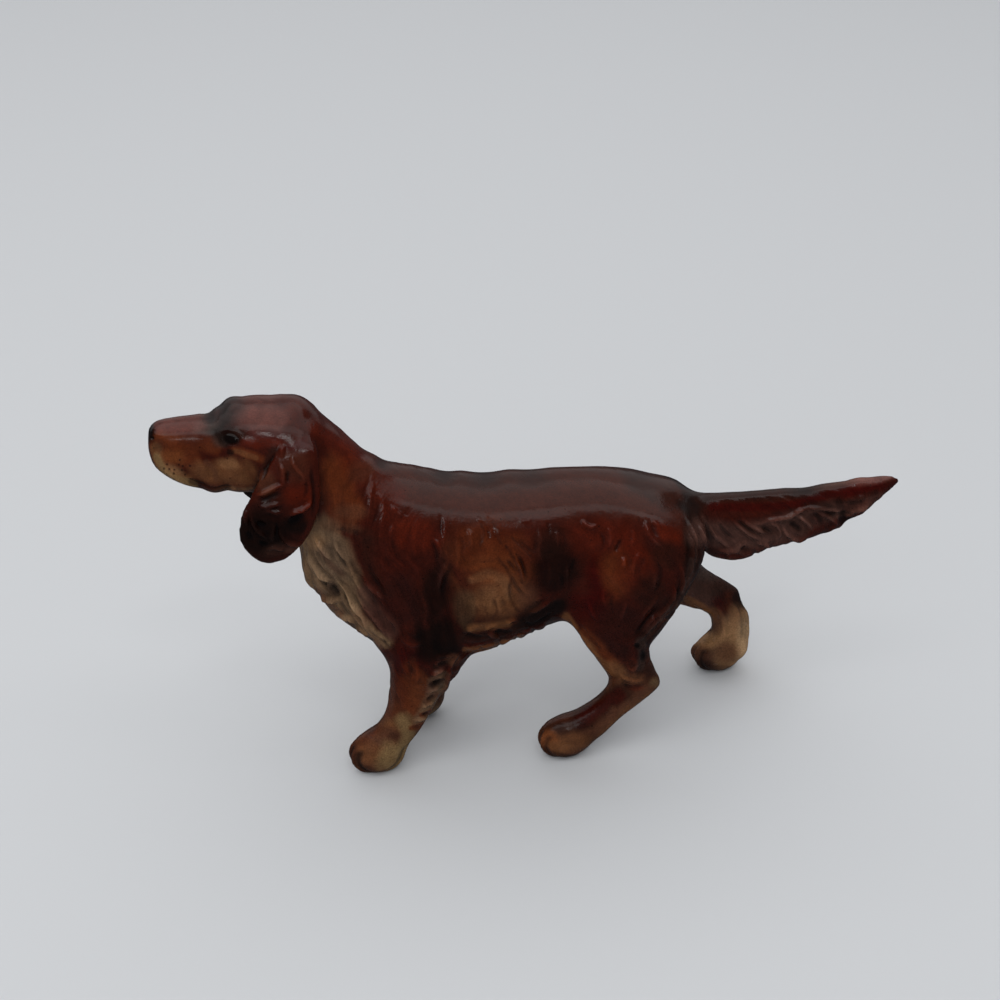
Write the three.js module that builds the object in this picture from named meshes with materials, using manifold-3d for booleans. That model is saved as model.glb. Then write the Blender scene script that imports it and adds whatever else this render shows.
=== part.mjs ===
// A porcelain setter figurine, slip-cast as nine pieces that are luted together before firing.
// Millimetres, +Z up. The dog faces -X, so its left side is -Y.
import * as THREE from 'three';
import { mergeVertices } from 'three/addons/utils/BufferGeometryUtils.js';
import Module from 'manifold-3d';

const wasm = await Module();
wasm.setup();

// Casting
const wallThickness = 3;
const slipJoint = 0.3;
const ventDiameter = 6.4;

// Length of the animal, measured along the ground from a point under the left hind paw
const noseTip = -98.8;
const tailTip = 90.5;

// Trunk
const withersHeight = 84;
const backHeight = 78.4;
const croupHeight = 76.8;
const tailSetHeight = 69;
const breastHeight = 62;
const breastForward = -65;
const rumpBack = 37;
const chestFloor = 29.6;
const tuckHeight = 38.4;
const chestWidth = 35;
const loinWidth = 30.6;
const rumpWidth = 32;
const trunkTaper = 0.12;

// Neck and head
const napeHeight = 98.8;
const neckWidth = 24;
const skullTop = 106;
const skullWidth = 22.6;
const muzzleTop = 103;
const muzzleWidth = 13;
const jawHeight = 85;
const eyeballDiameter = 3.8;

// Ears
const earTop = 100.5;
const earTip = 70.5;
const earThickness = 3.8;

// Tail
const tailWidth = 8;
const tailDepth = 19;

// Legs: where each paw stands, and where the leg is luted on
const foreJointHeight = 31;
const hindJointHeight = 40;
const pawLength = 14.6;
const pawWidth = 9.4;
const pawHeight = 11.8;
const soleDepth = 1;
const pawPlace = {
  foreleg_left: { x: -49.4, y: -10 },
  foreleg_right: { x: -35.6, y: 10 },
  hind_leg_left: { x: 0.4, y: -13 },
  hind_leg_right: { x: 52.2, y: 15 },
};

// Mesh density
const trunkSides = 26;
const limbSides = 16;
const earSides = 14;
const ringsPerStation = 2;

// Far larger than the figurine, for cutting by a plane
const cutterSize = 500;

// A station is one cross section of a swept form: the two ends of its long axis as [x, z] in the
// side view, half its width, how far its middle lies to the side, how square it is, and the
// share by which it narrows towards the last of the two ends.
function station(first, last, half, side = 0, power = 2.2, taper = 0) {
  return { first, last, half, side, power, taper };
}

function trunkStation(top, underside, half) {
  return station(top, underside, half, 0, 2.2, trunkTaper);
}

function catmullRom(before, from, to, after, t) {
  const bend = 2 * before - 5 * from + 4 * to - after;
  const twist = 3 * from - before - 3 * to + after;
  return from + 0.5 * t * (to - before + t * (bend + t * twist));
}

// Adds rings between the stations, so that the form swells and tapers evenly.
function smoothed(stations) {
  const rings = [];
  const last = stations.length - 1;
  for (let i = 0; i < last; i += 1) {
    const near = [Math.max(i - 1, 0), i, i + 1, Math.min(i + 2, last)].map((k) => stations[k]);
    for (let step = 0; step < ringsPerStation; step += 1) {
      const t = step / ringsPerStation;
      const blend = (pick) => catmullRom(...near.map(pick), t);
      rings.push(station(
        [blend((s) => s.first[0]), blend((s) => s.first[1])],
        [blend((s) => s.last[0]), blend((s) => s.last[1])],
        blend((s) => s.half),
        blend((s) => s.side),
        blend((s) => s.power),
        blend((s) => s.taper),
      ));
    }
  }
  rings.push(stations[last]);
  return rings;
}

function signedPower(value, power) {
  return Math.sign(value) * Math.abs(value) ** power;
}

// The points of one ring, made larger all round by grow.
function ringPoints(ring, sides, grow) {
  const middle = [(ring.first[0] + ring.last[0]) / 2, (ring.first[1] + ring.last[1]) / 2];
  const reach = [ring.first[0] - middle[0], ring.first[1] - middle[1]];
  const length = Math.hypot(...reach);
  const points = [];
  for (let i = 0; i < sides; i += 1) {
    const angle = (2 * Math.PI * i) / sides;
    const along = signedPower(Math.cos(angle), 2 / ring.power) * (1 + grow / length);
    const narrowing = 1 + ring.taper * Math.cos(angle);
    const across = signedPower(Math.sin(angle), 2 / ring.power) * (ring.half * narrowing + grow);
    points.push([middle[0] + along * reach[0], ring.side + across, middle[1] + along * reach[1]]);
  }
  return points;
}

// A closed form swept through the stations, with a cap at each end.
function sweep(stations, sides, grow = 0) {
  const rings = smoothed(stations).map((ring) => ringPoints(ring, sides, grow));
  const middleOf = (ring) => [0, 1, 2].map((k) => ring.reduce((sum, p) => sum + p[k], 0) / sides);
  const points = rings.flat();
  points.push(middleOf(rings[0]), middleOf(rings[rings.length - 1]));
  const [startCap, endCap] = [points.length - 2, points.length - 1];
  const faces = [];
  for (let i = 0; i < sides; i += 1) {
    const next = (i + 1) % sides;
    for (let r = 0; r + 1 < rings.length; r += 1) {
      const [a, b] = [r * sides + i, r * sides + next];
      faces.push(a, a + sides, b, b, a + sides, b + sides);
    }
    const lastRing = (rings.length - 1) * sides;
    faces.push(startCap, i, next, endCap, lastRing + next, lastRing + i);
  }
  const geometry = new THREE.BufferGeometry();
  geometry.setAttribute('position', new THREE.Float32BufferAttribute(points.flat(), 3));
  geometry.setIndex(faces);
  return solid(geometry);
}

// The solid inside a closed geometry, turned outwards if its faces point in.
function solid(geometry) {
  geometry.deleteAttribute('normal');
  geometry.deleteAttribute('uv');
  const merged = mergeVertices(geometry);
  const triVerts = new Uint32Array(merged.index.array);
  const at = new THREE.Vector3();
  const corners = [new THREE.Vector3(), new THREE.Vector3(), new THREE.Vector3()];
  let volume = 0;
  for (let i = 0; i < triVerts.length; i += 3) {
    corners.forEach((c, k) => c.fromBufferAttribute(merged.attributes.position, triVerts[i + k]));
    volume += at.copy(corners[0]).cross(corners[1]).dot(corners[2]);
  }
  if (volume < 0) triVerts.reverse();
  const vertProperties = new Float32Array(merged.attributes.position.array);
  return new wasm.Manifold(new wasm.Mesh({ numProp: 3, vertProperties, triVerts }));
}

// Everything on the side of a plane that its normal points to. The plane goes through a point
// of the side view, given as [x, z], and so does its normal.
function beyond(point, normal) {
  const box = new THREE.BoxGeometry(cutterSize, cutterSize, cutterSize);
  const direction = new THREE.Vector3(normal[0], 0, normal[1]).normalize();
  const turn = new THREE.Quaternion().setFromUnitVectors(new THREE.Vector3(0, 0, 1), direction);
  box.applyQuaternion(turn);
  const centre = direction.multiplyScalar(cutterSize / 2);
  box.translate(point[0] + centre.x, centre.y, point[1] + centre.z);
  return solid(box);
}

function ellipsoid(centre, lengthX, lengthY, lengthZ) {
  const shape = new THREE.SphereGeometry(0.5, 14, 10);
  shape.scale(lengthX, lengthY, lengthZ);
  shape.translate(...centre);
  return solid(shape);
}

function joined(solids) {
  return solids.reduce((sum, one) => sum.add(one));
}

// Trunk, from the breast to the rump. Each station gives its top, its underside and half its width.
const trunkStations = [
  trunkStation([breastForward + 0.4, breastHeight + 5], [breastForward, breastHeight - 2.5], 4.6),
  trunkStation([-61.5, breastHeight + 13], [-62.4, 53], 9.8),
  trunkStation([-56.5, withersHeight - 2.5], [-57.4, chestFloor + 15.5], 13),
  trunkStation([-49.5, withersHeight + 1.8], [-50.4, chestFloor + 8.6], chestWidth / 2 - 2.1),
  trunkStation([-41, withersHeight + 0.2], [-43, chestFloor + 2.2], chestWidth / 2 - 0.9),
  trunkStation([-32, backHeight + 3.2], [-33, chestFloor], chestWidth / 2 - 0.2),
  trunkStation([-21, backHeight + 1], [-21.5, chestFloor + 1], chestWidth / 2),
  trunkStation([-10, backHeight + 0.4], [-10.5, tuckHeight - 4], chestWidth / 2 - 0.5),
  trunkStation([0, backHeight], [0, tuckHeight - 0.6], loinWidth / 2 + 0.6),
  trunkStation([7, backHeight - 0.4], [8, tuckHeight + 1], loinWidth / 2),
  trunkStation([13, croupHeight + 0.3], [15.5, tuckHeight + 3.6], rumpWidth / 2 - 0.3),
  trunkStation([21, croupHeight - 1.8], [23.5, tuckHeight + 6.5], rumpWidth / 2),
  trunkStation([28, croupHeight - 4.6], [30, tuckHeight + 10], rumpWidth / 2 - 1.6),
  trunkStation([33.4, tailSetHeight + 1], [34.6, tuckHeight + 14.5], rumpWidth / 2 - 5.4),
  trunkStation([rumpBack - 0.8, tailSetHeight - 3], [rumpBack, tuckHeight + 20], 5),
];

// Neck, from inside the chest to inside the skull: nape, throat and half its width.
const neckStations = [
  station([-42, withersHeight - 2], [-61, breastHeight - 2], neckWidth / 2 + 1.6),
  station([-47, withersHeight + 3.4], [-64.4, breastHeight + 4.5], neckWidth / 2 + 1.2),
  station([-52, napeHeight - 6], [-66.2, breastHeight + 10], neckWidth / 2 + 0.5),
  station([-56.8, napeHeight], [-69.5, jawHeight - 8], neckWidth / 2),
  station([-61, napeHeight + 3.6], [-74, jawHeight - 2.4], neckWidth / 2 - 0.4),
  station([-67, napeHeight + 4.5], [-77, jawHeight + 1.5], neckWidth / 2 - 1.2),
];

// Head, from the nose to the back of the skull: top, underside and half its width.
const headStations = [
  station([noseTip + 0.8, 101], [noseTip + 0.2, 96.6], 2.3),
  station([noseTip + 2.6, muzzleTop - 0.5], [noseTip + 1.2, 92.4], muzzleWidth / 2 - 1.9, 0, 2.4),
  station([-92, muzzleTop - 0.1], [-94.3, jawHeight + 4], muzzleWidth / 2 - 0.5, 0, 2.5),
  station([-88, muzzleTop], [-90, jawHeight + 1.6], muzzleWidth / 2, 0, 2.6),
  station([-84.8, muzzleTop + 0.3], [-85.6, jawHeight + 0.5], muzzleWidth / 2 + 0.9, 0, 2.5),
  station([-81.8, muzzleTop + 1.5], [-81.6, jawHeight], skullWidth / 2 - 2.7, 0, 2.4),
  station([-79.4, skullTop - 0.5], [-78, jawHeight + 0.2], skullWidth / 2 - 1.2, 0, 2.3),
  station([-75, skullTop], [-73.5, jawHeight], skullWidth / 2 - 0.2),
  station([-70, skullTop - 0.4], [-69, jawHeight - 0.5], skullWidth / 2),
  station([-64.6, skullTop - 1.2], [-64.6, jawHeight + 0.5], skullWidth / 2 - 0.6),
  station([-60.8, skullTop - 4], [-61.4, jawHeight + 4], skullWidth / 2 - 3.2),
];

// Ear, from its root to its tip: front edge, rear edge, and how far it hangs out from the middle.
function earStations(side) {
  const out = (from) => side * (neckWidth / 2 + from);
  const half = earThickness / 2;
  return [
    station([-69, earTop - 0.2], [-62, earTop + 0.2], half - 0.7, out(-3.2), 2.6),
    station([-71, earTop - 2.8], [-60.7, earTop - 2], half - 0.2, out(-1.2), 2.6),
    station([-74, earTop - 7], [-60.4, earTop - 6.4], half, out(0.4), 2.6),
    station([-77, earTop - 12], [-60.6, earTop - 11.4], half, out(1.5), 2.6),
    station([-79.3, earTop - 17], [-61.4, earTop - 16.4], half + 0.1, out(2), 2.6),
    station([-80, earTip + 8], [-63, earTip + 9], half, out(2), 2.6),
    station([-78.4, earTip + 3.8], [-65.4, earTip + 5], half - 0.2, out(1.9), 2.5),
    station([-76, earTip + 1], [-68.6, earTip + 1.6], half - 0.9, out(1.7), 2.4),
    station([-74.2, earTip], [-71, earTip + 0.3], half - 1.5, out(1.6)),
  ];
}

// Tail, from inside the rump to its tip: top, lower edge of the feather, and half its width.
const tailStations = [
  station([30, tailSetHeight + 0.5], [33, tailSetHeight - 8], tailWidth / 2 + 1.4),
  station([36, tailSetHeight + 0.5], [37.2, tailSetHeight - 14.5], tailWidth / 2 + 0.8),
  station([42.4, tailSetHeight + 0.2], [41.6, tailSetHeight - tailDepth], tailWidth / 2 + 0.2),
  station([50, tailSetHeight - 0.1], [49.8, tailSetHeight - tailDepth - 0.6], tailWidth / 2),
  station([58, tailSetHeight - 0.2], [58.6, tailSetHeight - tailDepth + 1.6], tailWidth / 2 - 0.1),
  station([66, tailSetHeight - 0.2], [67, tailSetHeight - tailDepth + 3.4], tailWidth / 2 - 0.3),
  station([74, tailSetHeight + 0.2], [75.4, tailSetHeight - tailDepth + 5.4], tailWidth / 2 - 0.7),
  station([81.5, tailSetHeight + 0.6], [82.4, tailSetHeight - 8.4], tailWidth / 2 - 1.3),
  station([tailTip - 3.6, tailSetHeight + 0.9], [tailTip - 3.6, tailSetHeight - 4.6], tailWidth / 2 - 2.2),
  station([tailTip, tailSetHeight], [tailTip, tailSetHeight - 1.6], tailWidth / 2 - 3.4),
];

// Legs, from inside the trunk to inside the paw. Their stations give the front edge, the rear
// edge, half the width, and how far the leg leans in from its paw towards the other side.
const legShape = {
  foreleg_left: [
    [[0, 67], [15, 68], 4.4, 3.2],
    [[-1.6, 58], [19, 60], 6.4, -0.6],
    [[-0.8, 46], [22.4, 47], 7, -1.1],
    [[2.9, 37], [23.2, 37.5], 6.3, -0.8],
    [[3.9, 30], [21.3, 30.6], 5.3, -0.4],
    [[3.4, 24], [17.6, 24.8], 4.4, 0],
    [[2.4, 18.4], [14.4, 18.4], 3.9, 0],
    [[0.2, 14.2], [11.8, 13.2], 3.9, 0],
    [[-2.4, 11.4], [8.6, 8.6], 4.2, 0],
    [[-4, 8], [5, 4.4], 4.2, 0],
  ],
  foreleg_right: [
    [[-13.8, 67], [1.2, 68], 4.4, -4],
    [[-15.4, 58], [7, 60], 6.4, 0.2],
    [[-12.8, 46], [10.2, 47], 7, -0.6],
    [[-8.4, 36], [12, 37], 6.1, -0.3],
    [[-6, 28], [11.6, 29], 5.1, 0],
    [[-4.2, 21], [10.8, 21.4], 4.4, 0],
    [[-3.2, 15], [9.4, 14.4], 4.1, 0],
    [[-3.8, 10.6], [7.6, 8.6], 4.3, 0],
    [[-4.6, 7.6], [4.8, 4], 4.4, 0],
  ],
  hind_leg_left: [
    [[5, 66.5], [26, 68], 4.4, 6.7],
    [[0.8, 60.5], [33, 63.6], 6.7, 3.1],
    [[-2, 52.5], [33, 56], 8, 2.4],
    [[-1, 45], [29.4, 47.3], 7.6, 1.4],
    [[2, 39.6], [24.8, 40.2], 6.8, 0.8],
    [[5.2, 34], [21.5, 35], 5.8, 0.3],
    [[8.2, 29], [21.4, 31], 5.1, 0.1],
    [[10.6, 24.8], [23.1, 25.8], 4.3, 0],
    [[10.8, 20.8], [24.6, 20.8], 4.1, 0],
    [[8.8, 17.6], [20.4, 16.2], 3.8, 0],
    [[5.8, 15], [15.2, 11.8], 3.9, 0],
    [[2.4, 13], [9.8, 6], 4.2, 0],
    [[-1, 11], [5.4, 3.4], 4.4, 0],
  ],
  hind_leg_right: [
    [[-46.4, 66], [-25.4, 67], 4.4, -8.6],
    [[-48.4, 57], [-17, 63.2], 7, -5],
    [[-44.4, 47], [-14.2, 54], 7.8, -3.6],
    [[-36, 38], [-12, 44.6], 6.8, -2.6],
    [[-24.4, 30.6], [-8.4, 37.8], 5.5, -1.6],
    [[-15.8, 26.4], [-4.2, 33.6], 4.8, -0.8],
    [[-9.6, 23.4], [1, 29.4], 4.4, -0.2],
    [[-5.2, 20.8], [5, 25.6], 4.3, 0],
    [[-3.2, 17.8], [7.2, 19.2], 4.2, 0],
    [[-2.6, 14.6], [8.2, 13.6], 4.2, 0],
    [[-3, 11.2], [8, 9], 4.5, 0],
    [[-3.4, 8.4], [6, 5], 4.5, 0],
  ],
};

function legSolid(name) {
  const paw = pawPlace[name];
  const stations = legShape[name].map(([front, rear, half, lean]) => station(
    [paw.x + front[0], front[1]],
    [paw.x + rear[0], rear[1]],
    half,
    paw.y + lean,
  ));
  const middle = [paw.x, paw.y, pawHeight / 2 - soleDepth / 2];
  const foot = ellipsoid(middle, pawLength, pawWidth, pawHeight + soleDepth);
  return sweep(stations, limbSides).add(foot).subtract(beyond([0, 0], [0, -1]));
}

// Joints. Each is a plane across the body, so the two castings meet on flat faces.
const neckJoint = { point: [-49.2, withersHeight + 5], normal: [-0.81, 0.588] };
const tailJoint = { point: [rumpBack - 0.6, tailSetHeight - 2], normal: [0.984, 0.179] };

function shifted(joint, distance) {
  const length = Math.hypot(...joint.normal);
  return joint.point.map((value, k) => value + (joint.normal[k] / length) * distance);
}

function sideOf(joint, distance = 0) {
  return beyond(shifted(joint, distance), joint.normal);
}

// Bodies before they are parted
const legNames = Object.keys(legShape);
const trunk = sweep(trunkStations, trunkSides);
const headAndNeck = sweep(neckStations, trunkSides).add(sweep(headStations, trunkSides));
const eyeSpread = skullWidth / 2 - 4.3;
const eyes = [-1, 1].map((side) => {
  const centre = [-80.2, side * eyeSpread, skullTop - 5.6];
  return ellipsoid(centre, eyeballDiameter, eyeballDiameter, eyeballDiameter);
});
const wholeTail = sweep(tailStations, limbSides);
const wholeLegs = Object.fromEntries(legNames.map((name) => [name, legSolid(name)]));

function legJointHeight(name) {
  return name.startsWith('fore') ? foreJointHeight : hindJointHeight;
}

// The space inside the castings, a wall's thickness in from the skin
const trunkHollow = sweep(trunkStations.slice(2, -2), limbSides, -wallThickness);
const neckHollow = sweep(neckStations, limbSides, -wallThickness);
const skullHollow = sweep(headStations.slice(6, -1), limbSides, -wallThickness);
const hollow = joined([trunkHollow, neckHollow, skullHollow]);
const vent = new THREE.CylinderGeometry(ventDiameter / 2, ventDiameter / 2, 16, 16);
vent.rotateX(Math.PI / 2);
vent.translate(-10, 0, tuckHeight - 2);

const upperLegs = legNames.map((name) => {
  const joint = beyond([0, legJointHeight(name) + slipJoint], [0, 1]);
  return wholeLegs[name].intersect(joint);
});
const wholeBody = joined([trunk, headAndNeck, ...upperLegs, ...eyes]);
const tailStub = wholeTail.subtract(sideOf(tailJoint));
const torso = wholeBody
  .add(tailStub)
  .subtract(sideOf(neckJoint))
  .subtract(sideOf(tailJoint))
  .subtract(hollow)
  .subtract(solid(vent));

const head = wholeBody.intersect(sideOf(neckJoint, slipJoint)).subtract(hollow);
const tail = wholeTail.intersect(sideOf(tailJoint, slipJoint));

// Neighbours that a cut piece keeps clear of, larger than they are by the slip joint
const roomyTrunk = sweep(trunkStations, trunkSides, slipJoint);
const roomyHead = joined([
  sweep(neckStations, trunkSides, slipJoint),
  sweep(headStations, trunkSides, slipJoint),
]);

const pieces = {
  torso,
  head,
  ear_left: sweep(earStations(-1), earSides).subtract(roomyHead),
  ear_right: sweep(earStations(1), earSides).subtract(roomyHead),
  tail,
};
for (const name of legNames) {
  const joint = beyond([0, legJointHeight(name)], [0, 1]);
  pieces[name] = wholeLegs[name].subtract(joint).subtract(roomyTrunk);
}

// Fired glaze colours
const glaze = {
  torso: 0x5e2113,
  head: 0x6e2c18,
  ear_left: 0x44160f,
  ear_right: 0x44160f,
  tail: 0x4a1a11,
  foreleg_left: 0x7d5531,
  foreleg_right: 0x7d5531,
  hind_leg_left: 0x6b331b,
  hind_leg_right: 0x80603c,
};

function pieceMesh(name, body) {
  const { vertProperties, triVerts } = body.getMesh();
  const geometry = new THREE.BufferGeometry();
  geometry.setAttribute('position', new THREE.Float32BufferAttribute(vertProperties, 3));
  geometry.setIndex(Array.from(triVerts));
  const material = new THREE.MeshStandardMaterial({
    color: glaze[name],
    roughness: 0.12,
    metalness: 0,
  });
  const mesh = new THREE.Mesh(geometry, material);
  mesh.name = name;
  return mesh;
}

// The origin lies on the ground under the middle of the animal's length.
const figurine = new THREE.Group();
for (const [name, body] of Object.entries(pieces)) figurine.add(pieceMesh(name, body));
figurine.position.x = -(noseTip + tailTip) / 2;

export default figurine;
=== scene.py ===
import math

import bpy
import numpy as np
import openvdb
from mathutils import Matrix


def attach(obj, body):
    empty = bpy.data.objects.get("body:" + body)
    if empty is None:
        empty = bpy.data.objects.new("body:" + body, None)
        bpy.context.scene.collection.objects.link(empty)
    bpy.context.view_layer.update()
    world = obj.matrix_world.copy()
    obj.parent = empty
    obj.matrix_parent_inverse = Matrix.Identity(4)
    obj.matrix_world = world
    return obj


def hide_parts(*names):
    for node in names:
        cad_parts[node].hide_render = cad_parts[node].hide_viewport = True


# A glazed porcelain setter. Its skin is modelled in millimetres in the CAD's frame, with the nose
# towards -X and the dog's left side towards -Y, and is then parted into the nine castings.
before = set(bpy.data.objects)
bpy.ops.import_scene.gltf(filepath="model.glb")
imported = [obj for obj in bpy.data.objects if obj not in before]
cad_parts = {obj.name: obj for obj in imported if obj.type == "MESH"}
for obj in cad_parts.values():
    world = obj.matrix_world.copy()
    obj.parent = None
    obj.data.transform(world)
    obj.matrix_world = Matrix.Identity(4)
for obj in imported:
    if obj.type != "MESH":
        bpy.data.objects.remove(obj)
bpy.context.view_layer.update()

MM = 0.001

# The level sets' grid: its cell, the cells that distances reach to, and its box
VOXEL = 0.7
BAND = 9
GRID_LOW = np.array([-98.0, -24.0, -3.0])
GRID_HIGH = np.array([98.0, 24.0, 110.0])

# How far the stations' zero lies along X from the frame's
FRAME_SHIFT = 4.15

# The mesh of a swept form
RINGS_PER_STATION = 6
SIDES = 48


# Swept forms

def station(first, last, half, side=0.0, power=2.2, taper=0.0):
    """One cross section: the two ends of its long axis as (x, z), half its width, how far its
    middle lies to the side, how square it is, and how much it narrows towards last."""
    return np.array([*first, *last, half, side, power, taper], dtype=float)


def catmull_rom(padded, steps):
    """Rows along a smooth curve through all but the first and the last of the padded ones."""
    rows = []
    for before, start, end, after in zip(padded, padded[1:], padded[2:], padded[3:]):
        bend = 2 * before - 5 * start + 4 * end - after
        twist = 3 * start - before - 3 * end + after
        for t in np.arange(steps) / steps:
            rows.append(start + 0.5 * t * (end - before + t * (bend + t * twist)))
    rows.append(padded[-2])
    return np.array(rows)


def sweep(stations):
    """Points, quads and end triangles of a closed form through the stations."""
    rows = np.array(stations)
    rings = catmull_rom(np.vstack([rows[:1], rows, rows[-1:]]), RINGS_PER_STATION)
    angle = 2 * np.pi * np.arange(SIDES) / SIDES
    cosine = np.cos(angle)[None, :]
    sine = np.sin(angle)[None, :]
    first, last = rings[:, 0:2], rings[:, 2:4]
    half, side, power, taper = (rings[:, k:k + 1] for k in (4, 5, 6, 7))
    middle = (first + last) / 2
    reach = first - middle
    along = np.sign(cosine) * np.abs(cosine) ** (2 / power)
    across = np.sign(sine) * np.abs(sine) ** (2 / power) * half * (1 + taper * cosine)
    points = np.empty((len(rings), SIDES, 3))
    points[:, :, 0] = middle[:, :1] + along * reach[:, :1] + FRAME_SHIFT
    points[:, :, 1] = side + across
    points[:, :, 2] = middle[:, 1:] + along * reach[:, 1:]
    count = len(rings) * SIDES
    caps = np.array([points[0].mean(axis=0), points[-1].mean(axis=0)])
    this = np.arange(SIDES)
    following = (this + 1) % SIDES
    start = np.arange(len(rings) - 1)[:, None] * SIDES
    quads = np.stack([start + this, start + SIDES + this, start + SIDES + following,
                      start + following], axis=-1).reshape(-1, 4)
    end = (len(rings) - 1) * SIDES
    start_cap = np.stack([np.full(SIDES, count), following, this], axis=-1)
    end_cap = np.stack([np.full(SIDES, count + 1), end + this, end + following], axis=-1)
    triangles = np.vstack([start_cap, end_cap])
    return np.vstack([points.reshape(-1, 3), caps]), quads, triangles


# Level sets

# The distance, in millimetres, that stands for everything further away
FAR = BAND * VOXEL
SHAPE = np.ceil((GRID_HIGH - GRID_LOW) / VOXEL).astype(int)
AXES = [GRID_LOW[k] + VOXEL * np.arange(SHAPE[k]) for k in range(3)]
LOW_INDEX = np.round(GRID_LOW / VOXEL).astype(int)


class Field:
    """Signed distances in millimetres on the part of the grid that a form reaches."""

    def __init__(self, low, high):
        self.first = np.clip(np.floor((low - GRID_LOW) / VOXEL).astype(int), 0, SHAPE)
        self.last = np.clip(np.ceil((high - GRID_LOW) / VOXEL).astype(int) + 1, 0, SHAPE)

    def slices(self):
        return tuple(slice(a, b) for a, b in zip(self.first, self.last))

    def coordinates(self):
        parts = [AXES[k][self.first[k]:self.last[k]] for k in range(3)]
        return np.meshgrid(*parts, indexing="ij", sparse=True)


def swept_field(stations):
    """The distances to a closed form through the stations."""
    points, quads, triangles = sweep(stations)
    field = Field(points.min(axis=0) - FAR, points.max(axis=0) + FAR)
    transform = openvdb.createLinearTransform(voxelSize=VOXEL)
    grid = openvdb.FloatGrid.createLevelSetFromPolygons(
        points.astype(np.float32), triangles=triangles.astype(np.uint32),
        quads=quads.astype(np.uint32), transform=transform, halfWidth=BAND)
    field.values = np.full(field.last - field.first, FAR, dtype=np.float32)
    grid.copyToArray(field.values, ijk=tuple(int(i) for i in LOW_INDEX + field.first))
    return field


def ellipsoid_field(centre, radii):
    """The distances to an ellipsoid, roughly."""
    centre = np.array(centre, dtype=float) + [FRAME_SHIFT, 0, 0]
    span = max(radii) + FAR
    field = Field(centre - span, centre + span)
    away = [axis - middle for axis, middle in zip(field.coordinates(), centre)]
    scaled = np.sqrt(sum((a / radius) ** 2 for a, radius in zip(away, radii)))
    steep = np.sqrt(sum((a / radius ** 2) ** 2 for a, radius in zip(away, radii)))
    field.values = (scaled * (scaled - 1) / np.maximum(steep, 1e-6)).astype(np.float32)
    return field


def whole_field():
    """The whole grid, with nothing in it."""
    field = Field(GRID_LOW, GRID_HIGH)
    field.values = np.full(SHAPE, FAR, dtype=np.float32)
    return field


def blend_in(skin, field, softness):
    """Joins a form to the skin, rounding the crease. softness is the crease's width in mm."""
    there = field.slices()
    a, b = skin.values[there], field.values
    share = np.clip(0.5 + 0.5 * (a - b) / softness, 0, 1)
    skin.values[there] = a * (1 - share) + b * share - softness * share * (1 - share)


# The dog's form

# Places along the body, heights and half widths, in millimetres
NOSE_TIP = -98.8
TAIL_TIP = 90.5
WITHERS = 84.0
BACK = 78.4
CROUP = 76.8
TAIL_SET = 69.0
BREAST = 62.0
BREAST_X = -65.0
RUMP_X = 37.0
CHEST_FLOOR = 29.6
TUCK = 38.4
CHEST_HALF = 17.5
LOIN_HALF = 15.3
RUMP_HALF = 16.0
NAPE = 98.8
NECK_HALF = 12.0
SKULL_TOP = 106.0
SKULL_HALF = 11.3
MUZZLE_TOP = 103.0
MUZZLE_HALF = 6.5
JAW = 85.0
EAR_TOP = 100.5
EAR_TIP = 70.5
EAR_HALF = 1.9
TAIL_HALF = 4.0
TAIL_DEPTH = 19.0


def trunk_station(top, underside, half):
    return station(top, underside, half, taper=0.12)


TRUNK = [
    trunk_station((BREAST_X + 0.4, BREAST + 5), (BREAST_X, BREAST - 2.5), 4.6),
    trunk_station((-61.5, BREAST + 13), (-62.4, 53), 9.8),
    trunk_station((-56.5, WITHERS - 2.5), (-57.4, CHEST_FLOOR + 15.5), 13),
    trunk_station((-49.5, WITHERS + 1.8), (-50.4, CHEST_FLOOR + 8.6), CHEST_HALF - 2.1),
    trunk_station((-41, WITHERS + 0.2), (-43, CHEST_FLOOR + 2.2), CHEST_HALF - 0.9),
    trunk_station((-32, BACK + 3.2), (-33, CHEST_FLOOR), CHEST_HALF - 0.2),
    trunk_station((-21, BACK + 1), (-21.5, CHEST_FLOOR + 1), CHEST_HALF),
    trunk_station((-10, BACK + 0.4), (-10.5, TUCK - 4), CHEST_HALF - 0.5),
    trunk_station((0, BACK), (0, TUCK - 0.6), LOIN_HALF + 0.6),
    trunk_station((7, BACK - 0.4), (8, TUCK + 1), LOIN_HALF),
    trunk_station((13, CROUP + 0.3), (15.5, TUCK + 3.6), RUMP_HALF - 0.3),
    trunk_station((21, CROUP - 1.8), (23.5, TUCK + 6.5), RUMP_HALF),
    trunk_station((28, CROUP - 4.6), (30, TUCK + 10), RUMP_HALF - 1.6),
    trunk_station((33.4, TAIL_SET + 1), (34.6, TUCK + 14.5), RUMP_HALF - 5.4),
    trunk_station((RUMP_X - 0.8, TAIL_SET - 3), (RUMP_X, TUCK + 20), 5),
]

NECK = [
    station((-42, WITHERS - 2), (-61, BREAST - 2), NECK_HALF + 1.6),
    station((-47, WITHERS + 3.4), (-64.4, BREAST + 4.5), NECK_HALF + 1.2),
    station((-52, NAPE - 6), (-66.2, BREAST + 10), NECK_HALF + 0.5),
    station((-56.8, NAPE), (-69.5, JAW - 8), NECK_HALF),
    station((-61, NAPE + 3.6), (-74, JAW - 2.4), NECK_HALF - 0.4),
    station((-67, NAPE + 4.5), (-77, JAW + 1.5), NECK_HALF - 1.2),
]

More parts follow.
